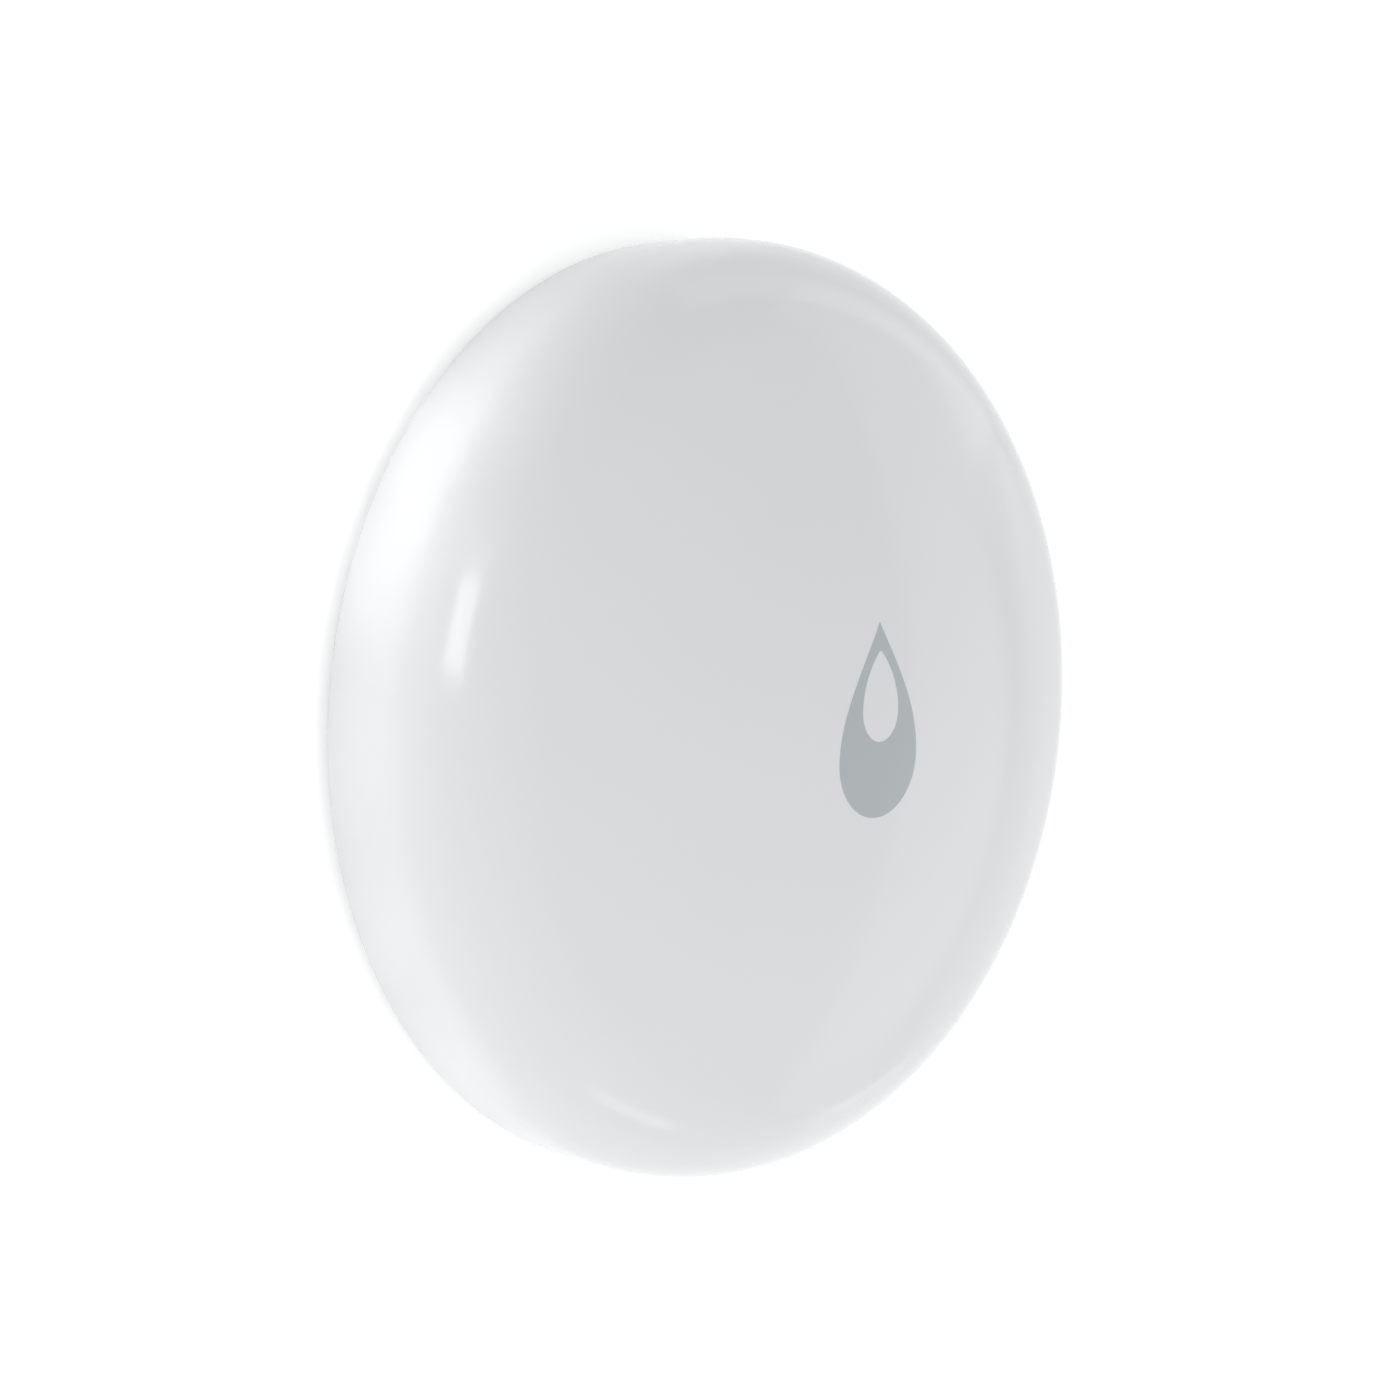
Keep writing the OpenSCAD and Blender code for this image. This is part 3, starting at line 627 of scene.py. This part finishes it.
@dataclass
class TopShell:
    """Domed shell: crown, rim and side arcs that run into each other, with its bosses inside.

    Attributes:
        radius: Greatest radius.
        height: Height of the crown above the floor.
        belt: Height of the widest line.
        rim: Radius of the rounded rim.
        draw: How far the side draws in below the widest line.
        wall: Wall thickness.
        edge: Rounding of the lower edge.
        low: Height of the lower edge.
        chamfer: Chamfer at the mouth of the bore.
        ring: Radius of the circle of the screw bosses.
        steps: Steps round the axis.
        boss_angles: Angles of the screw bosses.
    """

    radius: float = 25.0
    height: float = 15.0
    belt: float = 4.4
    rim: float = 7.4
    draw: float = 0.2
    wall: float = 1.5
    edge: float = 0.5
    low: float = 0.6
    chamfer: float = 0.3
    ring: float = 18.32
    steps: int = 192
    boss_angles: Triple = (90.0, 210.0, 330.0)

    def __post_init__(self) -> None:
        """Works out the crown and side arcs from the sizes."""
        self.rim_at = self.radius - self.rim
        rise = self.height - self.belt
        self.crown = (self.rim_at ** 2 + rise ** 2 - self.rim ** 2) / (2 * (rise - self.rim))
        self.crown_low = self.height - self.crown
        self.crown_end = degrees(atan2(self.belt - self.crown_low, self.rim_at))
        drop = self.belt - self.low
        self.side = (drop ** 2 + self.draw ** 2) / (2 * self.draw)

    def dome(self, depth: float) -> list[Pair]:
        """Gives the dome's outline at a depth under its surface, from the pole to the widest line.

        Args:
            depth: Depth.

        Returns:
            Points of radius and height.
        """
        crown_steps, rim_steps = 40, 32
        crown = arc((0.0, self.crown_low), self.crown - depth, 90.0, self.crown_end, crown_steps)
        rim = arc((self.rim_at, self.belt), self.rim - depth, self.crown_end, 0.0, rim_steps)
        return crown + rim[1:]

    def height_at(self, radius: float, depth: float) -> float:
        """Gives the height of the dome at a radius.

        Args:
            radius: Distance from the axis.
            depth: Depth under the outer surface.

        Returns:
            The height.
        """
        crown = self.crown - depth
        if radius < crown * cos(radians(self.crown_end)):
            return self.crown_low + sqrt(crown ** 2 - radius ** 2)
        return self.belt + sqrt((self.rim - depth) ** 2 - (radius - self.rim_at) ** 2)

    def outline(self) -> list[Pair]:
        """Gives the closed outline of the shell's wall, outside first.

        Returns:
            Points of radius and height.
        """
        side_steps, edge_steps = 10, 8
        end = (self.low + self.edge * (1 - self.belt / self.side)) / (1 - self.edge / self.side)
        lean = degrees(asin((self.belt - end) / self.side))
        side = arc((self.radius - self.side, self.belt), self.side, 0.0, -lean, side_steps)
        edge_x = side[-1][0] - self.edge * cos(radians(lean))
        edge = arc((edge_x, self.low + self.edge), self.edge, -lean, -90.0, edge_steps)
        bore = self.radius - self.wall
        mouth = [(bore + self.chamfer, self.low), (bore, self.low + self.chamfer)]
        inside = self.dome(self.wall)[::-1]
        return self.dome(0.0) + side[1:] + edge[1:] + mouth + inside

    def boss(self, place: Pair, low: float, radius: float) -> Thing:
        """Makes a boss whose upper end lies in the middle of the wall.

        Args:
            place: X and Y of the axis.
            low: Height of its lower end.
            radius: Radius.

        Returns:
            The boss.
        """
        piece = rod("boss", place, low, self.height, radius)
        for vertex in piece.data.vertices:
            if vertex.co.z > (low + self.height) / 2 * MM:
                far = hypot(vertex.co.x, vertex.co.y) / MM
                vertex.co.z = self.height_at(far, self.wall / 2) * MM
        return piece

    def build(self) -> Thing:
        """Builds the shell with its bosses, press post and light guide socket.

        Returns:
            The shell.
        """
        boss_low, boss_radius = 4.4, 2.4
        core_low, core_high, core_radius, core_sides = 4.0, 9.1, 0.95, 32
        post_low, post_radius = 11.2, 1.7
        socket_y, socket_deep, socket_radius = 7.0, 1.8, 2.2
        well_start, well_deep, well_radius, well_sides = 0.5, 1.6, 1.25, 48
        shell = turn("domed_shell", self.outline(), self.steps)
        for angle in self.boss_angles:
            way = radians(angle)
            place = (self.ring * cos(way), self.ring * sin(way))
            core = rod("core", place, core_low, core_high, core_radius, core_sides)
            combine(shell, self.boss(place, boss_low, boss_radius), Join.ADD)
            combine(shell, core, Join.CUT)
        combine(shell, self.boss((0.0, 0.0), post_low, post_radius), Join.ADD)
        place = (0.0, socket_y)
        low = self.height_at(socket_y, self.wall) - socket_deep
        well = rod("core", place, low - well_start, low + well_deep, well_radius, well_sides)
        combine(shell, self.boss(place, low, socket_radius), Join.ADD)
        combine(shell, well, Join.CUT)
        smooth(shell)
        return shell

    def dress(self, shell: Thing) -> None:
        """Gives the shell its finish and its place in the frame.

        Args:
            shell: The shell.
        """
        settle(shell, SHELL_WHITE, Body.HOUSING, "top_shell")


@dataclass(frozen=True)
class Drop:
    """Outline of a water drop.

    Attributes:
        tip: Y of the tip.
        foot: Y of the round end.
        waist: Y of the widest line.
        half: Half of the greatest width.
        swell: How early the sides swell below the tip, smaller for earlier.
    """

    tip: float
    foot: float
    waist: float
    half: float
    swell: float

    def points(self, sides: int) -> list[Pair]:
        """Gives the closed outline, from the tip round and back to the tip.

        Args:
            sides: Points on each straight side and on each half of the round end.

        Returns:
            X and Y of the points.
        """
        flank = []
        for i in range(sides + 1):
            along = i / sides
            wide = self.half * sin(pi / 2 * along ** self.swell)
            flank.append((wide, self.tip + (self.waist - self.tip) * along))
        for i in range(1, sides + 1):
            way = pi / 2 * i / sides
            height = self.waist + (self.foot - self.waist) * sin(way)
            flank.append((self.half * cos(way), height))
        mirrored = [(-x, y) for x, y in flank[-2::-1]]
        return flank + mirrored


@dataclass
class DropSign:
    """Grey drop printed on the crown, with a smaller drop left bare inside it.

    Attributes:
        centre: X and Y of the sign's middle.
        outer: Outline of the printed drop.
        inner: Outline of the bare drop.
        sides: Points on each side of an outline.
        rings: Rings of faces between the two outlines.
        film: Thickness of the print.
    """

    centre: Pair = (0.35, 0.3)
    outer: Drop = Drop(tip=5.05, foot=-5.05, waist=-1.95, half=3.05, swell=1.07)
    inner: Drop = Drop(tip=3.62, foot=-1.12, waist=0.48, half=1.43, swell=0.82)
    sides: int = 40
    rings: int = 8
    film: float = 0.02

    def build(self, shell: Thing) -> Thing:
        """Draws both outlines, bridges them and lays the film on the crown.

        Args:
            shell: The shell that carries the print.

        Returns:
            The print.
        """
        above = 20.0
        lines = []
        for drop in (self.outer, self.inner):
            flat = [(x + self.centre[0], y + self.centre[1]) for x, y in drop.points(self.sides)]
            lines.append(draw_line("drop_sign", [Vector((x, y, above)) * MM for x, y in flat]))
            enter("OBJECT")
        sign, inner = lines
        take(sign)
        inner.select_set(True)
        bpy.ops.object.join()
        enter("EDIT")
        select_whole()
        bpy.ops.mesh.bridge_edge_loops(number_cuts=self.rings, interpolation="LINEAR")
        select_whole()
        bpy.ops.mesh.normals_make_consistent(inside=False)
        enter("OBJECT")
        if sign.data.polygons[0].normal.z < 0:
            sign.data.flip_normals()
        modify(sign, "SHRINKWRAP", target=shell, wrap_method="PROJECT", use_project_z=True,
               use_negative_direction=True, use_positive_direction=False)
        modify(sign, "SOLIDIFY", thickness=self.film * MM, offset=1.0)
        sign.name = sign.data.name = "drop_sign"
        smooth(sign)
        return sign

    def dress(self, sign: Thing) -> None:
        """Gives the print its finish and its place in the frame.

        Args:
            sign: The print.
        """
        settle(sign, SIGN_GREY, Body.HOUSING)


@dataclass
class TwistCover:
    """Battery cover: rounded plate with a coin slot, a neck, a skirt and three bayonet lugs.

    Attributes:
        low: Height of the lower face.
        lip: Radius of the plate.
        neck: Radius of the neck that carries the seal.
        seat: Height of the seal's seat.
        top: Height of the plate's upper face.
        skirt: Inner and outer radius of the skirt.
        skirt_top: Height of the skirt's end.
        lug: Outer radius of the lugs.
        lug_span: Lower and upper height of the lugs.
        lug_angles: Angles of the lugs.
        lug_width: Width of a lug.
        slot: Length, width and depth of the coin slot.
    """

    low: float = 0.6
    lip: float = 14.15
    neck: float = 13.15
    seat: float = 1.54
    top: float = 2.4
    skirt: Pair = (10.35, 11.75)
    skirt_top: float = 4.6
    lug: float = 12.85
    lug_span: Pair = (3.5, 4.4)
    lug_angles: Triple = (30.0, 150.0, 270.0)
    lug_width: float = 22.0
    slot: Triple = (14.0, 2.0, 1.1)

    def build(self) -> Thing:
        """Turns the cover, adds its lugs and cuts its coin slot.

        Returns:
            The cover.
        """
        corner, corner_steps, steps = 0.3, 6, 128
        wide_weld, flat_angle, soft_edge = WELD * 10, radians(0.3), 0.14
        outline = [(radius, self.low) for radius in (0.0, 4.0, 9.0)]
        outline += arc((self.lip - corner, self.low + corner), corner, -90.0, 0.0, corner_steps)
        outline += [(self.lip, self.seat), (self.neck, self.seat), (self.neck, self.top),
                    (self.skirt[1], self.top), (self.skirt[1], self.skirt_top),
                    (self.skirt[0], self.skirt_top), (self.skirt[0], self.top), (0.0, self.top)]
        cover = turn("twist_cover", outline, steps)
        for angle in self.lug_angles:
            combine(cover, self.make_lug(angle), Join.ADD)
        combine(cover, self.coin(), Join.CUT)
        take(cover)
        enter("EDIT")
        weld(wide_weld)
        bpy.ops.mesh.dissolve_limited(angle_limit=flat_angle)
        enter("OBJECT")
        round_edges(cover, soft_edge)
        smooth(cover)
        keep_flats(cover)
        return cover

    def make_lug(self, angle: float) -> Thing:
        """Makes one bayonet lug.

        Args:
            angle: Angle of its middle.

        Returns:
            The lug, reaching into the skirt.
        """
        steps = 8
        low, high = self.lug_span
        inner = (self.skirt[0] + self.skirt[1]) / 2
        outline = [(inner, low), (self.lug, low), (self.lug, high), (inner, high), (inner, low)]
        lug = turn("lug", outline, steps, radians(self.lug_width))
        middle = self.sector_middle(lug)
        lug.data.transform(Matrix.Rotation(radians(angle) - middle, 4, "Z"))
        return lug

    @staticmethod
    def sector_middle(lug: Thing) -> float:
        """Gives the angle of a lug's middle, whichever way the spin turned it.

        Args:
            lug: The lug.

        Returns:
            The angle in radians.
        """
        angles = [atan2(v.co.y, v.co.x) for v in lug.data.vertices]
        return (min(angles) + max(angles)) / 2

    def coin(self) -> Thing:
        """Makes the coin shape that cuts the slot.

        Returns:
            The coin, lying along X.
        """
        sides = 360
        length, width, deep = self.slot
        radius = (length ** 2 / 4 + deep ** 2) / (2 * deep)
        clear_selection()
        bpy.ops.mesh.primitive_cylinder_add(
            vertices=sides, radius=radius * MM, depth=width * MM,
            location=(0, 0, (self.low + deep - radius) * MM), rotation=(pi / 2, 0, 0))
        bpy.ops.object.transform_apply()
        return bpy.context.object

    def dress(self, cover: Thing) -> None:
        """Gives the cover its finish and its place in the frame.

        Args:
            cover: The cover.
        """
        settle(cover, COVER_WHITE, Body.COVER, "battery_cover")


@dataclass
class FloorContacts:
    """Rubber feet and water probes on the circle round the battery port.

    Attributes:
        ring: Radius of their circle.
        foot_radius: Radius of a foot.
        foot_top: Height of a foot's upper face.
        foot_angles: Angles of the feet.
        probe_angles: Angles of the probes.
        head_low: Height of a probe head's lower end.
        head_high: Height of a probe head's shoulder.
        head_radius: Radius of a probe head.
        thread_radius: Radius of the thread.
        thread_top: Height of the thread's end.
    """

    ring: float = 18.32
    foot_radius: float = 2.8
    foot_top: float = 1.0
    foot_angles: Triple = (90.0, 210.0, 330.0)
    probe_angles: Pair = (0.0, 180.0)
    head_low: float = 0.25
    head_high: float = 1.35
    head_radius: float = 2.2
    thread_radius: float = 1.0
    thread_top: float = 4.984

    def build_feet(self) -> Thing:
        """Turns one foot with rounded edges and a shallow ring, and copies it.

        Returns:
            The three feet as one piece.
        """
        hollow, hollow_radius, hollow_end = 0.05, 0.9, 1.1
        round_low, low_steps, round_top, top_steps = 0.35, 8, 0.1, 4
        steps, smooth_angle = 72, 40.0
        low_at = (self.foot_radius - round_low, round_low)
        top_at = (self.foot_radius - round_top, self.foot_top - round_top)
        outline = [(0.0, hollow), (hollow_radius, hollow), (hollow_end, 0.0)]
        outline += arc(low_at, round_low, -90.0, 0.0, low_steps)
        outline += arc(top_at, round_top, 0.0, 90.0, top_steps)
        outline += [(0.0, self.foot_top)]
        foot = turn("foot_pads", outline, steps)
        foot.data.transform(Matrix.Translation((self.ring * MM, 0, 0)))
        feet = copies_round(foot, self.foot_angles)
        smooth(feet, smooth_angle)
        return feet

    def build_probes(self) -> Thing:
        """Turns one pan head screw, cuts its cross recess and copies it.

        Returns:
            The two probes as one piece.
        """
        crown_share, crown_steps = 0.45, 14
        corner, corner_lift, corner_steps = 0.1, 0.06, 5
        end_chamfer, steps, smooth_angle = 0.3, 80, 30.0
        crown = (self.head_high - self.head_low) * crown_share
        ball = (self.head_radius ** 2 + crown ** 2) / (2 * crown)
        half = degrees(asin(self.head_radius / ball))
        outline = arc((0.0, self.head_low + ball), ball, -90.0, half - 90.0, crown_steps)[:-1]
        corner_at = (self.head_radius - corner, self.head_low + crown + corner_lift)
        outline += arc(corner_at, corner, half - 90.0, 0.0, corner_steps)
        outline += [(self.head_radius, self.head_high), (self.thread_radius, self.head_high),
                    (self.thread_radius, self.thread_top - end_chamfer),
                    (self.thread_radius - end_chamfer, self.thread_top), (0.0, self.thread_top)]
        probe = turn("probe_heads", outline, steps)
        combine(probe, self.cross(), Join.CUT)
        probe.data.transform(Matrix.Translation((self.ring * MM, 0, 0)))
        probes = copies_round(probe, self.probe_angles)
        smooth(probes, smooth_angle)
        return probes

    def cross(self) -> Thing:
        """Makes the tapered cross that cuts the recess of a screw head.

        Returns:
            The cross, pointing up into the head.
        """
        arm_size, taper_long, taper_wide, centre_up = (2.5, 0.52, 0.85), 0.45, 0.7, 0.2
        lift = Matrix.Translation((0, 0, (self.head_low + centre_up) * MM))
        arms = []
        for spin in (0.0, pi / 2):
            clear_selection()
            bpy.ops.mesh.primitive_cube_add(size=MM, location=(0, 0, 0))
            arm = bpy.context.object
            enter("EDIT")
            select_whole()
            bpy.ops.transform.resize(value=arm_size)
            enter("OBJECT")
            for vertex in arm.data.vertices:
                if vertex.co.z > 0:
                    vertex.co.x *= taper_long
                    vertex.co.y *= taper_wide
            arm.data.transform(lift @ Matrix.Rotation(spin, 4, "Z"))
            arms.append(arm)
        combine(arms[0], arms[1], Join.ADD)
        return arms[0]

    def dress(self, feet: Thing, probes: Thing) -> None:
        """Gives the feet and the probes their finishes and places in the frame.

        Args:
            feet: The three feet.
            probes: The two probes.
        """
        settle(feet, FOOT_GREY, Body.HOUSING, "rubber_feet")
        settle(probes, PROBE_STEEL, Body.HOUSING, "probe_screws")


class CarriedNodes:
    """Nodes of the frame whose shape is right as it is."""

    def dress(self) -> None:
        """Gives each carried node its finish."""
        for name, finish in NODE_FINISHES.items():
            finish.dress(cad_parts[name])
            LOG.info("%s: carried node in %s", name, finish.name)


# Studio

def hang(name: str, lamp: bpy.types.ID, place: Vector) -> Thing:
    """Puts a lamp or a camera into the scene.

    Args:
        name: Name of its object.
        lamp: Its data.
        place: Its place.

    Returns:
        Its object.
    """
    thing = bpy.data.objects.new(name, lamp)
    bpy.context.scene.collection.objects.link(thing)
    thing.location = place * MM
    return thing


def heading(azimuth: float, elevation: float) -> Vector:
    """Gives a direction from the sensor.

    Args:
        azimuth: Angle round Z from +X.
        elevation: Angle above the floor.

    Returns:
        The direction, of length 1.
    """
    a, e = radians(azimuth), radians(elevation)
    return Vector((cos(a) * cos(e), sin(a) * cos(e), sin(e)))


def lightest(tree: bpy.types.NodeTree, values: list[Socket]) -> Socket:
    """Adds nodes that take the largest of several values.

    Args:
        tree: Node tree that gets the nodes.
        values: The values.

    Returns:
        The largest value.
    """
    total = values[0]
    for value in values[1:]:
        most = tree.nodes.new("ShaderNodeMath")
        most.operation = "MAXIMUM"
        tree.links.new(total, most.inputs[0])
        tree.links.new(value, most.inputs[1])
        total = most.outputs["Value"]
    return total


@dataclass(frozen=True)
class Softbox:
    """Large soft lamp that points at the sensor.

    Attributes:
        name: Name of the lamp.
        azimuth: Angle round Z from +X.
        elevation: Angle above the floor.
        distance: Distance from the sensor.
        width: Width.
        height: Height.
        power: Power in watts.
    """

    name: str
    azimuth: float
    elevation: float
    distance: float
    width: float
    height: float
    power: float

    def place(self) -> None:
        """Adds the lamp."""
        lamp = bpy.data.lights.new(self.name, "AREA")
        lamp.shape = "RECTANGLE"
        lamp.size, lamp.size_y = self.width * MM, self.height * MM
        lamp.energy = self.power
        way = heading(self.azimuth, self.elevation)
        thing = hang(self.name, lamp, way * self.distance + Vector((0, 0, LAMP_AIM)))
        thing.rotation_euler = way.to_track_quat("Z", "Y").to_euler()


@dataclass(frozen=True)
class FloorPool:
    """Soft pool of light on the floor beside the shell, which lights its side from below.

    Attributes:
        name: Name of the lamp.
        azimuth: Angle of the pool round Z from +X.
        radius: Distance of the pool's middle from the axis.
        power: Power in watts.
        spread: Full angle of the beam.
        height: Height of the lamp above the floor.
        bulb: Radius of the lamp.
    """

    name: str
    azimuth: float
    radius: float
    power: float
    spread: float = 4.2
    height: float = 250.0
    bulb: float = 2.0

    def place(self) -> None:
        """Adds the lamp straight above its pool, so that its beam passes beside the shell."""
        lamp = bpy.data.lights.new(self.name, "SPOT")
        lamp.energy = self.power
        lamp.spot_size = radians(self.spread)
        lamp.spot_blend = 1.0
        lamp.shadow_soft_size = self.bulb * MM
        place = heading(self.azimuth, 0.0) * self.radius + Vector((0, 0, self.height))
        hang(self.name, lamp, place)


@dataclass
class Studio:
    """Pale floor, soft surroundings, lamps, and the camera of the photograph.

    Attributes:
        lamps: The lamps.
        dim: Strength of the surroundings on their dark side.
        bright: Strength of the surroundings on their bright side.
        bright_way: Direction of the bright side.
        floor_lift: Light of its own that the floor shows to the camera and to reflections.
        rim_middle: Azimuth and elevation of a round light whose dark rim the shell mirrors.
        rim_span: Angles from that middle between which the rim comes up and goes away.
        rim_part: Direction of the middle of the part of the rim that shows.
        rim_reach: Angles from that part's middle between which the rim goes away.
        rim_end: Direction near which the rim has gone away.
        rim_fade: Angles from that direction between which the rim comes up.
        rim_dim: Strength of the rim in reflections, where white is 1.
        tilt: Lean of the view from the vertical, in radians.
        roll: Roll of the camera, in radians.
        spin: Turn of the view about Z, in radians.
        distance: Distance of the camera.
        focal: Focal length in pixels of the photograph.
        sensor: Width of the camera's sensor.
        nearest: Distance in millimetres from which the camera sees.
        offset: Offset of the view's middle.
    """

    lamps: tuple[Softbox | FloorPool, ...] = (
        Softbox("streak_lamp", 161.0, 18.5, 340.0, 120.0, 85.0, 0.115),
        Softbox("streak_halo_lamp", 157.0, 18.5, 340.0, 210.0, 150.0, 0.06),
        Softbox("left_lower_lamp", -78.0, 13.0, 380.0, 130.0, 46.0, 0.018),
        Softbox("right_lamp", 3.0, 20.0, 420.0, 780.0, 220.0, 0.185),
        Softbox("right_low_lamp", -16.0, 5.0, 380.0, 400.0, 70.0, 0.021),
        Softbox("right_upper_lamp", 42.0, 6.5, 400.0, 440.0, 140.0, 0.088),
        FloorPool("first_pool", 143.0, 33.5, 3.2),
        FloorPool("second_pool", 160.0, 33.5, 2.9),
        FloorPool("third_pool", 184.0, 34.0, 1.5),
        FloorPool("fourth_pool", 206.0, 34.0, 1.5),
        FloorPool("fifth_pool", 228.0, 34.0, 1.5),
        FloorPool("sixth_pool", 124.0, 34.0, 1.0),
        FloorPool("seventh_pool", 86.0, 36.0, 0.7, 5.0),
    )
    dim: float = 0.305
    bright: float = 1.02
    bright_way: Triple = (-0.05, -1.0, 0.1)
    floor_lift: float = 0.47
    rim_middle: Pair = (-12.2, 37.1)
    rim_span: tuple[float, float, float, float] = (25.3, 26.8, 30.5, 36.0)
    rim_part: Pair = (0.0, 12.0)
    rim_reach: Pair = (9.0, 46.0)
    rim_end: Pair = (80.0, 0.0)
    rim_fade: Pair = (68.0, 82.0)
    rim_dim: float = 0.4
    tilt: float = 0.8264
    roll: float = -0.1073
    spin: float = radians(-7.0)
    distance: float = 180.0
    focal: float = 3410.04
    sensor: float = 36.0
    nearest: float = 5.0
    offset: Pair = (3.5544, -0.7792)

    def floor(self) -> None:
        """Adds the flat, pale floor."""
        clear_selection()
        sides, reach, gap, patch = 96, 1400.0, 0.02, 30.0
        pale, paler = (0.86, 0.86, 0.86), (0.88, 0.88, 0.88)
        bpy.ops.mesh.primitive_circle_add(vertices=sides, radius=reach * MM, fill_type="NGON",
                                          location=(0, 0, -gap * MM))
        floor = bpy.context.object
        floor.name = floor.data.name = "floor"
        bpy.ops.object.transform_apply()
        desk = Desk("floor_paint")
        paint = desk.blend(desk.noise(patch), pale, paler)
        desk.link(paint, desk.shader.inputs["Base Color"])
        set_inputs(desk.shader, {"Roughness": 0.9, "Specular IOR Level": 0.1})
        glow = desk.add("ShaderNodeEmission")
        desk.link(self.seen(desk), glow.inputs["Strength"])
        both = desk.add("ShaderNodeAddShader")
        desk.link(desk.shader.outputs["BSDF"], both.inputs[0])
        desk.link(glow.outputs["Emission"], both.inputs[1])
        desk.link(both.outputs["Shader"], desk.tree.nodes["Material Output"].inputs["Surface"])
        floor.data.materials.append(desk.material)

    def seen(self, desk: Desk) -> Socket:
        """Gives the floor's own light, for rays from the camera, a reflection or a clear piece.

        Args:
            desk: Node tree of the floor's material.

        Returns:
            The strength of that light.
        """
        rays = desk.add("ShaderNodeLightPath")
        total = lightest(desk.tree, [rays.outputs[name] for name in SEEN_RAYS])
        scaled = desk.add("ShaderNodeMath", operation="MULTIPLY")
        scaled.inputs[1].default_value = self.floor_lift
        desk.link(total, scaled.inputs[0])
        return scaled.outputs["Value"]

    @staticmethod
    def ramp(way: Socket, axis: Vector, span: Pair, values: Pair) -> Socket:
        """Adds a strength that changes with the angle between a direction and an axis.

        Args:
            way: The direction.
            axis: The axis, of length 1.
            span: Angles in degrees between which the strength changes.
            values: Strength at and below the first angle, and at and above the second.

        Returns:
            The strength.
        """
        tree = way.id_data
        lean = tree.nodes.new("ShaderNodeVectorMath")
        lean.operation = "DOT_PRODUCT"
        lean.inputs[1].default_value = axis
        slope = tree.nodes.new("ShaderNodeMapRange")
        near, far = (cos(radians(angle)) for angle in span)
        set_inputs(slope, {"From Min": far, "From Max": near,
                           "To Min": values[1], "To Max": values[0]})
        tree.links.new(way, lean.inputs[0])
        tree.links.new(lean.outputs["Value"], slope.inputs["Value"])
        return slope.outputs["Result"]

    def surroundings(self) -> None:
        """Sets the world: white where it is seen, with the rim in reflections, and soft light."""
        world = bpy.data.worlds.new("studio")
        bpy.context.scene.world = world
        world.use_nodes = True
        tree = world.node_tree
        nodes = tree.nodes
        nodes.clear()
        way = nodes.new("ShaderNodeTexCoord").outputs["Generated"]
        rays = nodes.new("ShaderNodeLightPath").outputs
        soft, plain, mix, out = (nodes.new(f"ShaderNode{kind}") for kind in (
            "Background", "Background", "MixShader", "OutputWorld"))
        set_inputs(plain, {"Color": WHITE})
        set_inputs(soft, {"Color": COOL_WHITE})
        bright_way = Vector(self.bright_way).normalized()
        slope = self.ramp(way, bright_way, (0.0, 180.0), (self.bright, self.dim))
        middle, part = heading(*self.rim_middle), heading(*self.rim_part)
        white = lightest(tree, [
            rays["Is Camera Ray"], rays["Is Transmission Ray"],
            self.ramp(way, middle, self.rim_span[:2], (1.0, self.rim_dim)),
            self.ramp(way, middle, self.rim_span[2:], (self.rim_dim, 1.0)),
            self.ramp(way, part, self.rim_reach, (self.rim_dim, 1.0)),
            self.ramp(way, heading(*self.rim_end), self.rim_fade, (1.0, self.rim_dim))])
        for source, target in (
                (slope, soft.inputs["Strength"]),
                (white, plain.inputs["Strength"]),
                (lightest(tree, [rays[name] for name in SEEN_RAYS]), mix.inputs["Fac"]),
                (soft.outputs["Background"], mix.inputs[1]),
                (plain.outputs["Background"], mix.inputs[2]),
                (mix.outputs["Shader"], out.inputs["Surface"])):
            tree.links.new(source, target)

    def camera(self) -> None:
        """Sets the camera where the photograph was taken from."""
        toward = Vector((-sin(self.tilt), 0.0, cos(self.tilt)))
        across = Vector((cos(self.tilt), 0.0, sin(self.tilt)))
        along = Vector((0.0, 1.0, 0.0))
        right = across * cos(self.roll) - along * sin(self.roll)
        up = across * sin(self.roll) + along * cos(self.roll)
        about = Matrix.Rotation(self.spin, 3, "Z")
        right, up, toward = about @ right, about @ up, about @ toward
        middle = Vector((0.0, 0.0, CAMERA_AIM))
        eye = middle - right * self.offset[0] - up * self.offset[1] + toward * self.distance
        lens = bpy.data.cameras.new("photo_camera")
        lens.sensor_width = self.sensor
        lens.lens = self.focal / PHOTO_PIXELS * lens.sensor_width
        lens.clip_start = self.nearest * MM
        thing = hang("photo_camera", lens, eye)
        turned = Matrix((right, up, toward)).transposed().to_4x4()
        thing.matrix_world = Matrix.Translation(eye * MM) @ turned
        bpy.context.scene.camera = thing

    def build(self) -> None:
        """Sets up the whole studio."""
        bpy.context.scene.view_settings.view_transform = "Standard"
        self.floor()
        self.surroundings()
        for lamp in self.lamps:
            lamp.place()
        self.camera()


def main() -> None:
    """Builds and dresses the sensor in order, then the studio round it."""
    logging.basicConfig(level=logging.INFO, format="%(name)s: %(message)s")
    top = TopShell()
    shell = top.build()
    top.dress(shell)
    sign = DropSign()
    sign.dress(sign.build(shell))
    cover = TwistCover()
    cover.dress(cover.build())
    contacts = FloorContacts()
    contacts.dress(contacts.build_feet(), contacts.build_probes())
    CarriedNodes().dress()
    Studio().build()
    clear_selection()


if __name__ == "__main__":
    main()
